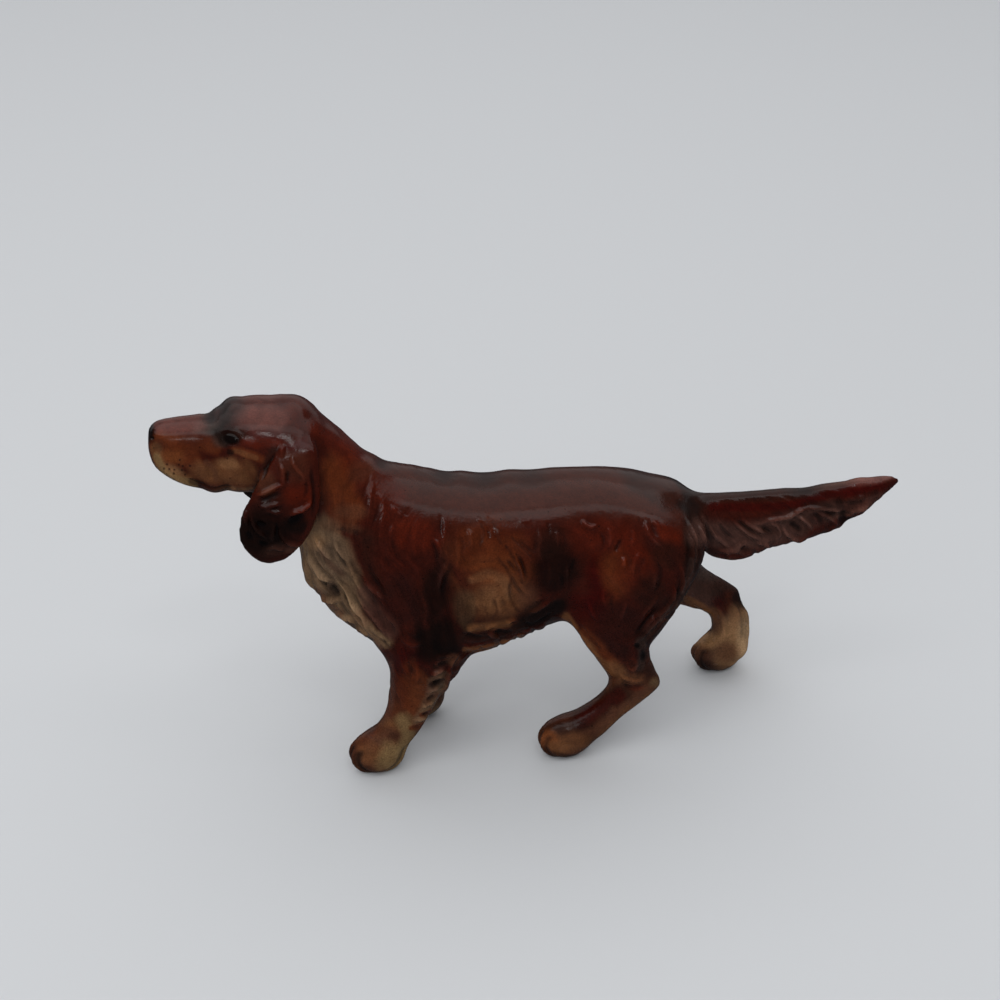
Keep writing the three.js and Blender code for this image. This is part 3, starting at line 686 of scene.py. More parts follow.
STROKES = {
    "bib": [
        (1.2, 0.45, [(314, 538), (321, 547), (333, 562)]),
        (1.5, 0.6, [(307, 549), (311, 560), (319, 573), (328, 580), (338, 583)]),
        (1.2, 0.35, [(303, 548), (306, 562), (309, 576), (313, 588), (322, 597)]),
        (1.5, 0.75, [(336, 582), (345, 588), (350, 598), (357, 609), (364, 618), (372, 628),
            (380, 636), (388, 643), (395, 648)]),
        (1.2, 0.55, [(349, 606), (356, 616), (363, 625), (371, 633), (377, 639)]),
        (1.4, 0.55, [(319, 595), (328, 600), (337, 600), (341, 607)]),
        (1.3, 0.45, [(333, 610), (343, 617), (352, 620), (358, 627)]),
        (1.1, 0.4, [(354, 625), (364, 632), (374, 639)]),
        (1.4, 0.3, [(362, 570), (367, 582), (374, 591), (383, 597), (392, 604)]),
        (1.2, 0.3, [(347, 560), (352, 571), (357, 582), (363, 594), (372, 606)]),
        (1.1, 0.35, [(333, 541), (340, 553), (347, 563)]),
        (1.3, 0.3, [(356, 596), (366, 610), (378, 624), (390, 636)]),
        (1.1, -0.7, [(319, 577), (323, 583), (328, 589)]),
        (1.8, -0.55, [(329, 585), (335, 591), (341, 599)]),
        (1.1, -0.35, [(315, 549), (321, 559), (328, 567)]),
        (1, -0.4, [(313, 585), (317, 593), (324, 601)]),
        (1.1, -0.35, [(345, 592), (348, 602), (356, 613)]),
        (1, -0.3, [(336, 548), (342, 560), (349, 572)]),
        (1.8, -0.25, [(335, 529), (346, 531), (356, 533), (363, 536)]),
        (1.3, -0.6, [(374, 629), (382, 638), (391, 649)]),
        (1.6, -0.3, [(366, 590), (374, 600), (384, 610), (392, 622)]),
        (1.5, -0.4, [(368, 560), (372, 573), (378, 584), (386, 591)]),
        (1.1, -0.35, [(337, 598), (345, 610), (352, 617)]),
    ],
    "shoulder": [
        (1, 0.4, [(391, 505), (396, 511), (402, 516), (408, 517)]),
        (0.9, 0.3, [(394, 524), (391, 531), (391, 538)]),
        (1, -0.35, [(392, 538), (393, 545), (396, 553)]),
        (1, -0.25, [(402, 541), (405, 549), (403, 558)]),
        (1.2, -0.3, [(371, 470), (368, 482), (364, 494), (361, 504)]),
        (1.2, -0.35, [(377, 494), (379, 506), (376, 518), (372, 530)]),
        (1.1, 0.25, [(374, 480), (371, 494), (370, 508), (367, 520)]),
        (1.1, 0.25, [(383, 500), (384, 512), (381, 524), (379, 536)]),
        (1.3, 0.35, [(426, 492), (434, 499), (441, 506), (446, 513)]),
        (1.1, -0.4, [(438, 513), (441, 522), (441, 531), (444, 539)]),
        (1, -0.4, [(429, 540), (435, 548), (437, 557), (434, 566)]),
        (1, 0.35, [(432, 537), (438, 544), (441, 553), (439, 563)]),
        (1.2, -0.55, [(455, 562), (449, 572), (445, 582), (443, 592), (444, 601)]),
        (1.2, 0.4, [(452, 556), (445, 568), (440, 578), (438, 590), (440, 602)]),
        (1.1, 0.35, [(379, 556), (383, 565), (390, 573), (398, 579)]),
        (1.1, -0.3, [(384, 555), (389, 564), (397, 571)]),
        (1, 0.3, [(388, 548), (394, 558), (403, 566), (412, 570)]),
        (1, 0.3, [(399, 634), (404, 641), (412, 645), (421, 643), (427, 637)]),
        (1, -0.3, [(404, 628), (410, 636), (418, 638), (424, 633)]),
        (1.1, 0.3, [(372, 596), (384, 612), (396, 626), (404, 642)]),
        (1.2, -0.3, [(424, 590), (430, 604), (433, 620), (430, 636)]),
        (1.1, 0.3, [(418, 585), (424, 600), (426, 616), (422, 632)]),
        (1.1, -0.3, [(447, 545), (450, 552), (450, 560)]),
        (1.2, 0.25, [(455, 535), (459, 548), (458, 562), (453, 578)]),
    ],
    "flank": [
        (1.8, 0.14, [(466, 573), (478, 568), (492, 567), (503, 571), (511, 579), (515, 589)]),
        (1.5, 0.14, [(463, 575), (475, 580), (488, 583), (499, 581)]),
        (1.2, -0.14, [(468, 577), (480, 574), (492, 575), (502, 579)]),
        (1.1, -0.4, [(517, 538), (524, 545), (531, 551), (537, 555)]),
        (1.1, 0.3, [(513, 541), (521, 549), (529, 556), (533, 564)]),
        (1.1, -0.4, [(506, 559), (512, 566), (518, 574)]),
        (1.2, -0.6, [(517, 553), (522, 563), (525, 573), (527, 583)]),
        (1.1, 0.4, [(514, 558), (519, 567), (522, 577), (524, 588)]),
        (1.1, -0.45, [(511, 573), (514, 583), (520, 591), (526, 598)]),
        (1.1, 0.35, [(517, 580), (522, 588), (529, 595), (534, 603)]),
        (1, -0.35, [(508, 582), (511, 591), (509, 600)]),
        (1, -0.3, [(492, 597), (494, 607), (490, 615)]),
        (1, -0.35, [(502, 597), (505, 607), (511, 616)]),
        (1, 0.3, [(497, 596), (499, 607), (503, 616)]),
        (1, -0.35, [(546, 520), (549, 528), (549, 538)]),
        (1, -0.35, [(575, 556), (573, 565), (570, 575)]),
        (1.1, -0.4, [(561, 574), (563, 583), (562, 592)]),
        (1.1, 0.35, [(566, 560), (567, 572), (567, 584), (565, 595)]),
        (1, -0.3, [(555, 580), (556, 590), (553, 600)]),
        (1, 0.3, [(477, 516), (480, 520), (484, 521)]),
        (1, 0.3, [(486, 511), (489, 517)]),
        (1, 0.3, [(520, 520), (526, 521), (529, 518)]),
        (1.2, 0.45, [(582, 519), (586, 525), (592, 527), (598, 524)]),
    ],
    "belly": [
        (1.2, 0.18, [(460, 631), (468, 630), (477, 627), (484, 628)]),
        (1.2, 0.22, [(484, 631), (492, 626), (499, 628)]),
        (1.1, 0.3, [(505, 625), (512, 620), (519, 621)]),
        (1.4, -0.5, [(462, 638), (470, 636), (478, 638), (486, 636)]),
        (1.3, -0.5, [(492, 635), (500, 632), (507, 633), (515, 629)]),
        (1.3, 0.55, [(486, 634), (493, 635), (498, 639), (495, 643)]),
        (1.3, 0.45, [(464, 644), (470, 648), (478, 647), (483, 651)]),
        (1.2, 0.45, [(478, 643), (485, 646), (493, 644), (499, 647)]),
        (1.2, 0.45, [(496, 640), (503, 642), (511, 637), (517, 640)]),
        (1.1, 0.4, [(514, 634), (521, 636), (529, 631), (536, 633)]),
        (1.1, 0.35, [(532, 628), (540, 628), (548, 623)]),
        (1.2, -0.5, [(522, 620), (530, 625), (539, 622), (548, 616), (556, 611)]),
        (1.1, 0.35, [(528, 613), (537, 610), (546, 604), (553, 600)]),
        (1.1, -0.3, [(533, 604), (542, 601), (550, 596)]),
    ],
    "loin": [
        (1, -0.3, [(460, 535), (463, 546), (461, 558)]),
        (1.1, 0.3, [(468, 527), (472, 540), (470, 553)]),
        (1, -0.3, [(478, 528), (481, 538), (479, 548)]),
        (1, -0.35, [(486, 526), (489, 534), (489, 541)]),
        (1, 0.3, [(495, 527), (499, 537), (505, 546)]),
        (1.1, 0.3, [(538, 527), (541, 539), (539, 552), (543, 565)]),
        (1.1, -0.3, [(533, 533), (535, 545), (533, 557)]),
        (1.1, 0.3, [(556, 528), (558, 540), (556, 552)]),
        (1.1, -0.25, [(563, 532), (566, 543), (564, 553)]),
        (1.1, 0.3, [(548, 563), (550, 575), (547, 588)]),
    ],
    "thigh": [
        (1.1, 0.45, [(645, 519), (647, 530), (652, 539), (660, 546), (667, 553)]),
        (1.1, -0.35, [(651, 522), (655, 532), (661, 539)]),
        (1, 0.35, [(652, 519), (656, 524), (661, 526)]),
        (1, -0.5, [(622, 538), (618, 546), (614, 554)]),
        (1.3, 0.4, [(623, 556), (624, 563), (624, 570)]),
        (1.1, 0.3, [(642, 551), (636, 559), (633, 569), (634, 579)]),
        (1, -0.25, [(647, 556), (641, 565), (639, 576)]),
        (1.2, 0.3, [(650, 566), (655, 577), (652, 590)]),
        (1.1, -0.3, [(656, 560), (661, 572), (659, 585), (652, 598)]),
        (1.1, 0.45, [(684, 512), (690, 524), (696, 538), (698, 551)]),
        (1.1, 0.45, [(687, 530), (693, 545), (693, 560), (690, 573), (684, 587)]),
        (1, -0.4, [(682, 524), (688, 540), (688, 556), (685, 570)]),
        (1.1, 0.4, [(680, 563), (683, 575), (683, 586), (678, 597)]),
        (1.1, 0.45, [(673, 583), (675, 593), (671, 603), (663, 612), (655, 619)]),
        (1, -0.45, [(678, 580), (679, 592), (674, 603), (666, 613), (657, 622)]),
        (1.2, 0.55, [(681, 595), (673, 606), (663, 616), (653, 624), (645, 633), (638, 641),
            (630, 647)]),
        (1, -0.45, [(684, 600), (676, 610), (666, 621), (655, 630), (648, 640)]),
        (1, 0.4, [(668, 606), (659, 614), (650, 621), (643, 630), (636, 638)]),
        (1.1, -0.4, [(662, 604), (653, 613), (646, 622), (638, 632), (629, 641)]),
        (1, 0.35, [(670, 616), (662, 624), (655, 632)]),
        (1, 0.35, [(660, 594), (653, 604), (645, 612), (639, 622)]),
        (0.9, 0.45, [(629, 660), (633, 659), (637, 663), (636, 668), (631, 670), (628, 666),
            (628, 661)]),
        (1.2, -0.5, [(635, 643), (638, 648)]),
        (1.4, -0.6, [(642, 651), (644, 658), (641, 664)]),
        (1, 0.4, [(641, 640), (646, 648), (648, 658), (646, 668)]),
        (1, 0.3, [(618, 674), (627, 679), (637, 681), (645, 679)]),
        (1, -0.35, [(620, 684), (631, 687), (641, 686), (648, 681)]),
        (1, 0.35, [(570, 618), (578, 630), (586, 642), (595, 653), (605, 663)]),
        (1.1, -0.3, [(578, 622), (587, 634), (596, 645), (606, 655)]),
        (1.1, 0.25, [(588, 600), (592, 612), (599, 624)]),
        (1.1, 0.25, [(606, 585), (603, 597), (607, 610)]),
        (1.1, -0.25, [(614, 592), (611, 604), (615, 617)]),
        (1.1, 0.25, [(627, 598), (624, 611), (619, 623)]),
        (1.1, -0.25, [(600, 530), (604, 541), (602, 553)]),
        (1.1, 0.25, [(608, 526), (611, 538), (607, 550)]),
        (1.1, 0.25, [(632, 528), (634, 538), (630, 548)]),
    ],
    "tail": [
        (1.2, 0.4, [(745, 519), (757, 524), (770, 520), (785, 518), (793, 515), (801, 510),
            (812, 508), (824, 509), (837, 511), (848, 510), (854, 512)]),
        (1.1, 0.45, [(795, 515), (804, 520), (810, 526), (814, 533)]),
        (1.1, 0.5, [(782, 525), (786, 533), (793, 538), (802, 539), (809, 534)]),
        (1.2, 0.45, [(729, 517), (739, 526), (750, 534), (763, 540), (774, 541)]),
        (1.2, 0.4, [(742, 519), (753, 527), (764, 532), (771, 531)]),
        (1.3, 0.4, [(709, 523), (714, 534), (724, 543), (733, 552)]),
        (1.1, 0.4, [(699, 519), (702, 531), (705, 543), (706, 551)]),
        (1.4, 0.3, [(840, 501), (851, 499), (863, 497), (874, 494)]),
        (1.4, -0.6, [(738, 544), (745, 549), (752, 547)]),
        (1.2, -0.45, [(728, 551), (735, 554), (744, 554)]),
        (1.4, -0.45, [(762, 526), (767, 530), (776, 533)]),
        (1.6, -0.55, [(788, 522), (796, 527), (803, 533)]),
        (1.4, -0.5, [(807, 515), (817, 516), (823, 524), (829, 529)]),
        (1.2, -0.4, [(735, 519), (746, 528), (757, 536)]),
        (1.2, 0.45, [(714, 549), (724, 551), (735, 549), (743, 543), (752, 541)]),
        (1.2, 0.45, [(756, 542), (765, 544), (772, 549)]),
        (1.1, -0.35, [(822, 512), (833, 514), (842, 513)]),
        (1.1, 0.35, [(817, 513), (828, 517), (836, 523), (838, 528)]),
        (1.1, -0.4, [(845, 504), (857, 503), (868, 500)]),
        (1.1, 0.4, [(846, 512), (858, 510), (870, 504)]),
        (1.1, 0.35, [(838, 518), (848, 516), (857, 512)]),
        (1.2, -0.4, [(706, 520), (709, 533), (711, 546)]),
        (1.2, -0.4, [(718, 521), (724, 531), (735, 541)]),
        (1, 0.3, [(768, 522), (777, 526), (780, 534), (776, 541)]),
        (1.3, -0.3, [(722, 549), (725, 558)]),
        (1.2, -0.3, [(752, 548), (757, 557)]),
    ],
    "fore": [
        (1, 0.5, [(464, 651), (457, 656), (452, 663), (449, 673), (447, 684), (443, 694),
            (438, 703), (432, 711)]),
        (1, 0.45, [(434, 660), (441, 656), (449, 656), (457, 654)]),
        (1.1, -0.5, [(436, 667), (443, 664), (450, 662)]),
        (1, 0.45, [(430, 676), (437, 672), (446, 669)]),
        (1.2, -0.55, [(432, 685), (438, 682), (443, 679)]),
        (1, 0.45, [(426, 693), (433, 689), (441, 686)]),
        (1.2, -0.5, [(426, 701), (431, 698), (437, 695)]),
        (1, 0.4, [(421, 708), (427, 705), (435, 701)]),
        (1, -0.4, [(421, 715), (426, 714), (431, 711)]),
        (1, 0.35, [(416, 720), (422, 719), (428, 716)]),
        (1.1, -0.4, [(411, 728), (417, 727), (423, 725)]),
        (0.9, 0.3, [(411, 721), (417, 720), (424, 721)]),
        (1.1, -0.3, [(408, 660), (411, 672), (409, 684)]),
        (1.1, 0.25, [(416, 662), (418, 674), (416, 686)]),
    ],
    "ear": [
        (1, 0.4, [(279, 435), (282, 442), (282, 450), (281, 459)]),
        (1.3, -0.7, [(278, 449), (272, 457), (267, 465), (264, 475), (261, 484)]),
        (1.4, 0.55, [(254, 496), (262, 494), (270, 490), (279, 486), (286, 486)]),
        (1.3, -0.35, [(256, 501), (266, 499), (276, 495), (286, 492)]),
        (1.2, 0.6, [(287, 517), (296, 512), (304, 509), (310, 503), (311, 495)]),
        (1.3, 0.6, [(251, 515), (253, 523), (257, 530), (263, 535), (269, 541)]),
        (1.3, 0.55, [(279, 527), (282, 536), (289, 543), (298, 545), (304, 541)]),
        (1.1, 0.35, [(247, 508), (246, 518), (248, 529)]),
        (1.3, 0.35, [(279, 463), (283, 472), (283, 482), (281, 489)]),
        (1.2, 0.35, [(292, 455), (293, 463), (298, 471), (304, 478), (302, 487)]),
        (1.1, -0.4, [(289, 470), (287, 478), (289, 485)]),
        (1.2, -0.45, [(311, 462), (312, 476), (314, 490), (314, 506), (311, 520)]),
        (1.8, -0.6, [(256, 521), (262, 525), (269, 525)]),
        (2.4, -0.6, [(286, 522), (294, 521), (301, 517), (304, 523)]),
        (1.5, -0.5, [(247, 531), (250, 537), (254, 541)]),
        (1.4, -0.5, [(258, 541), (264, 545), (271, 545)]),
        (1.1, 0.4, [(262, 513), (269, 511), (277, 513), (285, 510)]),
        (1.1, 0.35, [(266, 551), (273, 547), (281, 549), (288, 546)]),
        (1.3, 0.4, [(258, 506), (266, 507), (274, 505), (284, 503)]),
        (1.1, -0.4, [(270, 520), (276, 527), (277, 536)]),
        (1.1, 0.4, [(272, 517), (274, 527), (272, 538), (276, 546)]),
        (1, -0.35, [(305, 480), (307, 490), (304, 500)]),
    ],
}


# Features of the face and the far side, in pixels of the reference view

# The eye's middle, its slant, how much longer than high it is, and its relief as
# (radius, half width, height in mm)
EYE = (231.0, 439.0)
EYE_SLANT = 0.18
EYE_LENGTH = 1.35
EYEBALL = (4.8, 0.12)
EYE_GROOVE = (5.6, 1.5, -0.16)
EYELID = (8.8, 2.4, 0.03)
UPPER_LID = 0.12
UPPER_LID_FADE = (4, -6)
PAINTED_EYE = (7.0, 4.6)
NOSE = (148.5, 431.5)
PAINTED_NOSE = (6.6, 12)
WHISKERS = [(164, 468.6), (167, 464.4), (169.5, 469), (174, 473.4), (174.5, 469.5), (179, 464.5),
            (180, 460), (182, 470), (183, 466), (185, 474.7), (190, 466)]
MOUTH = [
    (0.55, -0.55, [(185, 478), (193, 480), (202, 483), (214, 486), (227, 485.5), (240, 488)]),
    (1.2, 0.22, [(160, 466), (172, 476), (186, 483), (204, 489)]),
]
WHISKER_REACH = 1.5
WHISKER_DEPTH = 0.13
WHISKER_SPOT = 1.1

# How much further back the far foreleg stands, in mm, and how much lower the relief and paint of
# the far side of the face lie, in pixels
FAR_FORELEG_SET_BACK = 13.8
FAR_FACE_DROP = 5.0

# Distances from the middle plane, in mm, between which the far side begins
FAR_SIDE = (2, 7)

# Columns of the reference view between which a share grows from 0 to 1
FACE_FADE = (272, 258)
FAR_FACE_FADE = (290, 265)
HEAD_SPRAY_FADE = (300, 280)
COAT_FADE = (272, 330)
BACK_FRONT_FADE = (330, 400)
BACK_REAR_FADE = (720, 690)
THIGH_FRONT_FADE = (575, 620)
THIGH_REAR_FADE = (700, 690)
TAIL_FADE = (700, 720)

# How much each group of locks is raised
EAR_SCALE = 1.15
GROUP_WEIGHT = {"bib": 1.25, "shoulder": 0.75, "flank": 0.8, "belly": 1.05, "loin": 0.8,
                "thigh": 0.95, "tail": 1.05, "fore": 1.0}

# Broad forms as (u, v, reach in pixels, height in mm): on the face, the ear, and the outline
# of the near side and of the far hind leg
FACE_DOTS = [
    (216, 446, 9, -0.35), (236, 424, 12, 0.2), (206, 452, 15, -0.3), (176, 466, 16, 0.4),
    (152, 438, 2.6, -0.6), (232, 472, 16, 0.25), (246, 454, 7, 0.18),
]
EAR_DOT = (243, 512, 15, 0.7)
OUTLINE_DOTS = [
    (231, 401, 14, 0.55), (209, 416, 11, -0.6), (262, 396, 40, 0.25), (300, 404, 18, 0.65),
    (290, 392, 22, 0.25), (345, 420, 20, 0.3), (158, 446, 12, -0.4),
    (214, 489, 15, 0.7), (240, 490, 13, 0.5),
    (345, 443, 26, 0.4), (384, 462, 14, -0.4), (412, 465, 14, 0.2), (445, 472, 18, -0.45),
    (485, 472, 26, -0.45), (530, 471, 24, -0.3), (304, 575, 28, 0.4), (655, 682, 10, 0.4),
    (738, 556, 24, 0.6), (771, 555, 11, -0.6), (803, 542, 24, 0.4), (846, 519, 11, -0.8),
    (864, 508, 14, 0.4),
    (668, 482, 26, 0.6), (803, 488, 20, -0.35), (858, 479, 14, 0.35),
]
FAR_HIND_DOTS = [(741, 600, 14, -1.0), (746, 650, 14, 1.0), (692, 650, 10, 0.5)]

FAR_HIND_STROKES = [
    (1.0, -0.3, [(690, 603), (702, 612), (710, 625), (708, 640)]),
    (1.0, 0.4, [(745, 605), (749, 625), (746, 650)]),
    (0.9, -0.3, [(737, 600), (742, 620), (741, 645)]),
    (1.2, 0.3, [(712, 600), (722, 615), (724, 640)]),
]
FAR_HIND_SPRAY = [
    ("umber", 0.6, 726, 590, 18, 14, 20),
    ("grey", 0.5, 702, 570, 16, 10, 20),
    ("mahogany", 0.8, 730, 600, 13, 9, 0),
    ("tan", 0.8, 4, [(688, 600), (703, 608), (712, 619)]),
    ("brown", 0.6, 724, 616, 16, 12, 0),
    ("sand", 0.85, 731, 646, 17, 28, 0),
    ("sand", 0.7, 708, 641, 14, 9, 0),
    ("pale", 0.75, 746, 648, 9, 32, 0),
    ("deep_red", 0.8, 722, 606, 11, 7, 35),
    ("rust", 0.4, 734, 606, 10, 12, 0),
    ("brown", 0.5, 719, 626, 5, 10, 10),
    ("brown", 0.8, 726, 652, 12, 11, 0),
    ("sand", 0.4, 738, 613, 9, 9, 0),
    ("tan", 0.5, 713, 612, 8, 5, 10),
    ("brown", 0.6, 702, 654, 11, 9, 0),
    ("umber", 0.7, 700, 664, 12, 5, 0),
    ("umber", 0.5, 716, 668, 24, 3, 0),
]
FAR_FORELEG_SPRAY = [
    ("brown", 0.85, 455, 672, 14, 36, 22),
    ("tan", 0.45, 456, 676, 9, 26, 22),
    ("grey", 0.4, 450, 684, 8, 24, 22),
    ("tan", 0.4, 448, 700, 8, 12, 22),
]


# Airbrushed colours

# Colours as sRGB bytes
PAINT = {
    "mahogany": (52, 15, 7), "red": (74, 20, 6), "deep_red": (50, 4, 2), "rust": (86, 38, 15),
    "orange": (104, 56, 27), "tan": (102, 64, 37), "olive": (84, 63, 42), "cream": (106, 82, 60),
    "pale": (160, 130, 96), "sand": (148, 109, 73), "plumage": (70, 45, 38),
    "black": (14, 6, 4), "umber": (34, 15, 9), "plum": (38, 14, 10), "grey": (60, 51, 46),
    "mauve": (76, 48, 39), "straw": (118, 95, 62), "brown": (80, 48, 32), "back": (58, 25, 15),
    # A painted sheen on the glaze
    "painted_sheen": (116, 72, 64),
}

# How far a spot or line of spray reaches in half widths, its soft edge, and how ragged that is
SPRAY_REACH = 1.9
SPRAY_EDGE = (1.5, 0.5)
SPRAY_RAGGED = 0.34


def linear(colour):
    """A colour in sRGB bytes as linear shares."""
    share = np.array(colour, dtype=float) / 255
    return np.where(share <= 0.04045, share / 12.92, ((share + 0.055) / 1.055) ** 2.4)


def spray(colours, view, strokes, weight, ragged):
    """Lays soft spots and lines of colour over one another, as an airbrush does.

    A spot is (colour, strength, u, v, half length, half height, turn in degrees) and a line is
    (colour, strength, half width, points)."""
    for stroke in strokes:
        paint = linear(PAINT[stroke[0]])
        strength = stroke[1]
        if len(stroke) == 4:
            reach = stroke[2] * SPRAY_REACH
            near, distance, _ = along_line(view, curve(stroke[3]), reach)
            spread = distance / stroke[2]
        else:
            u, v, length, height, turn = stroke[2:]
            angle = math.radians(turn)
            away = view - [u, v]
            along = (away[:, 0] * math.cos(angle) + away[:, 1] * math.sin(angle)) / length
            across = (away[:, 1] * math.cos(angle) - away[:, 0] * math.sin(angle)) / height
            spread = np.hypot(along, across)
            near = np.flatnonzero(spread < SPRAY_REACH)
            spread = spread[near]
        edge = smoothstep(*SPRAY_EDGE, spread + SPRAY_RAGGED * ragged[near])
        cover = strength * edge * weight[near]
        colours[near] += (paint - colours[near]) * cover[:, None]


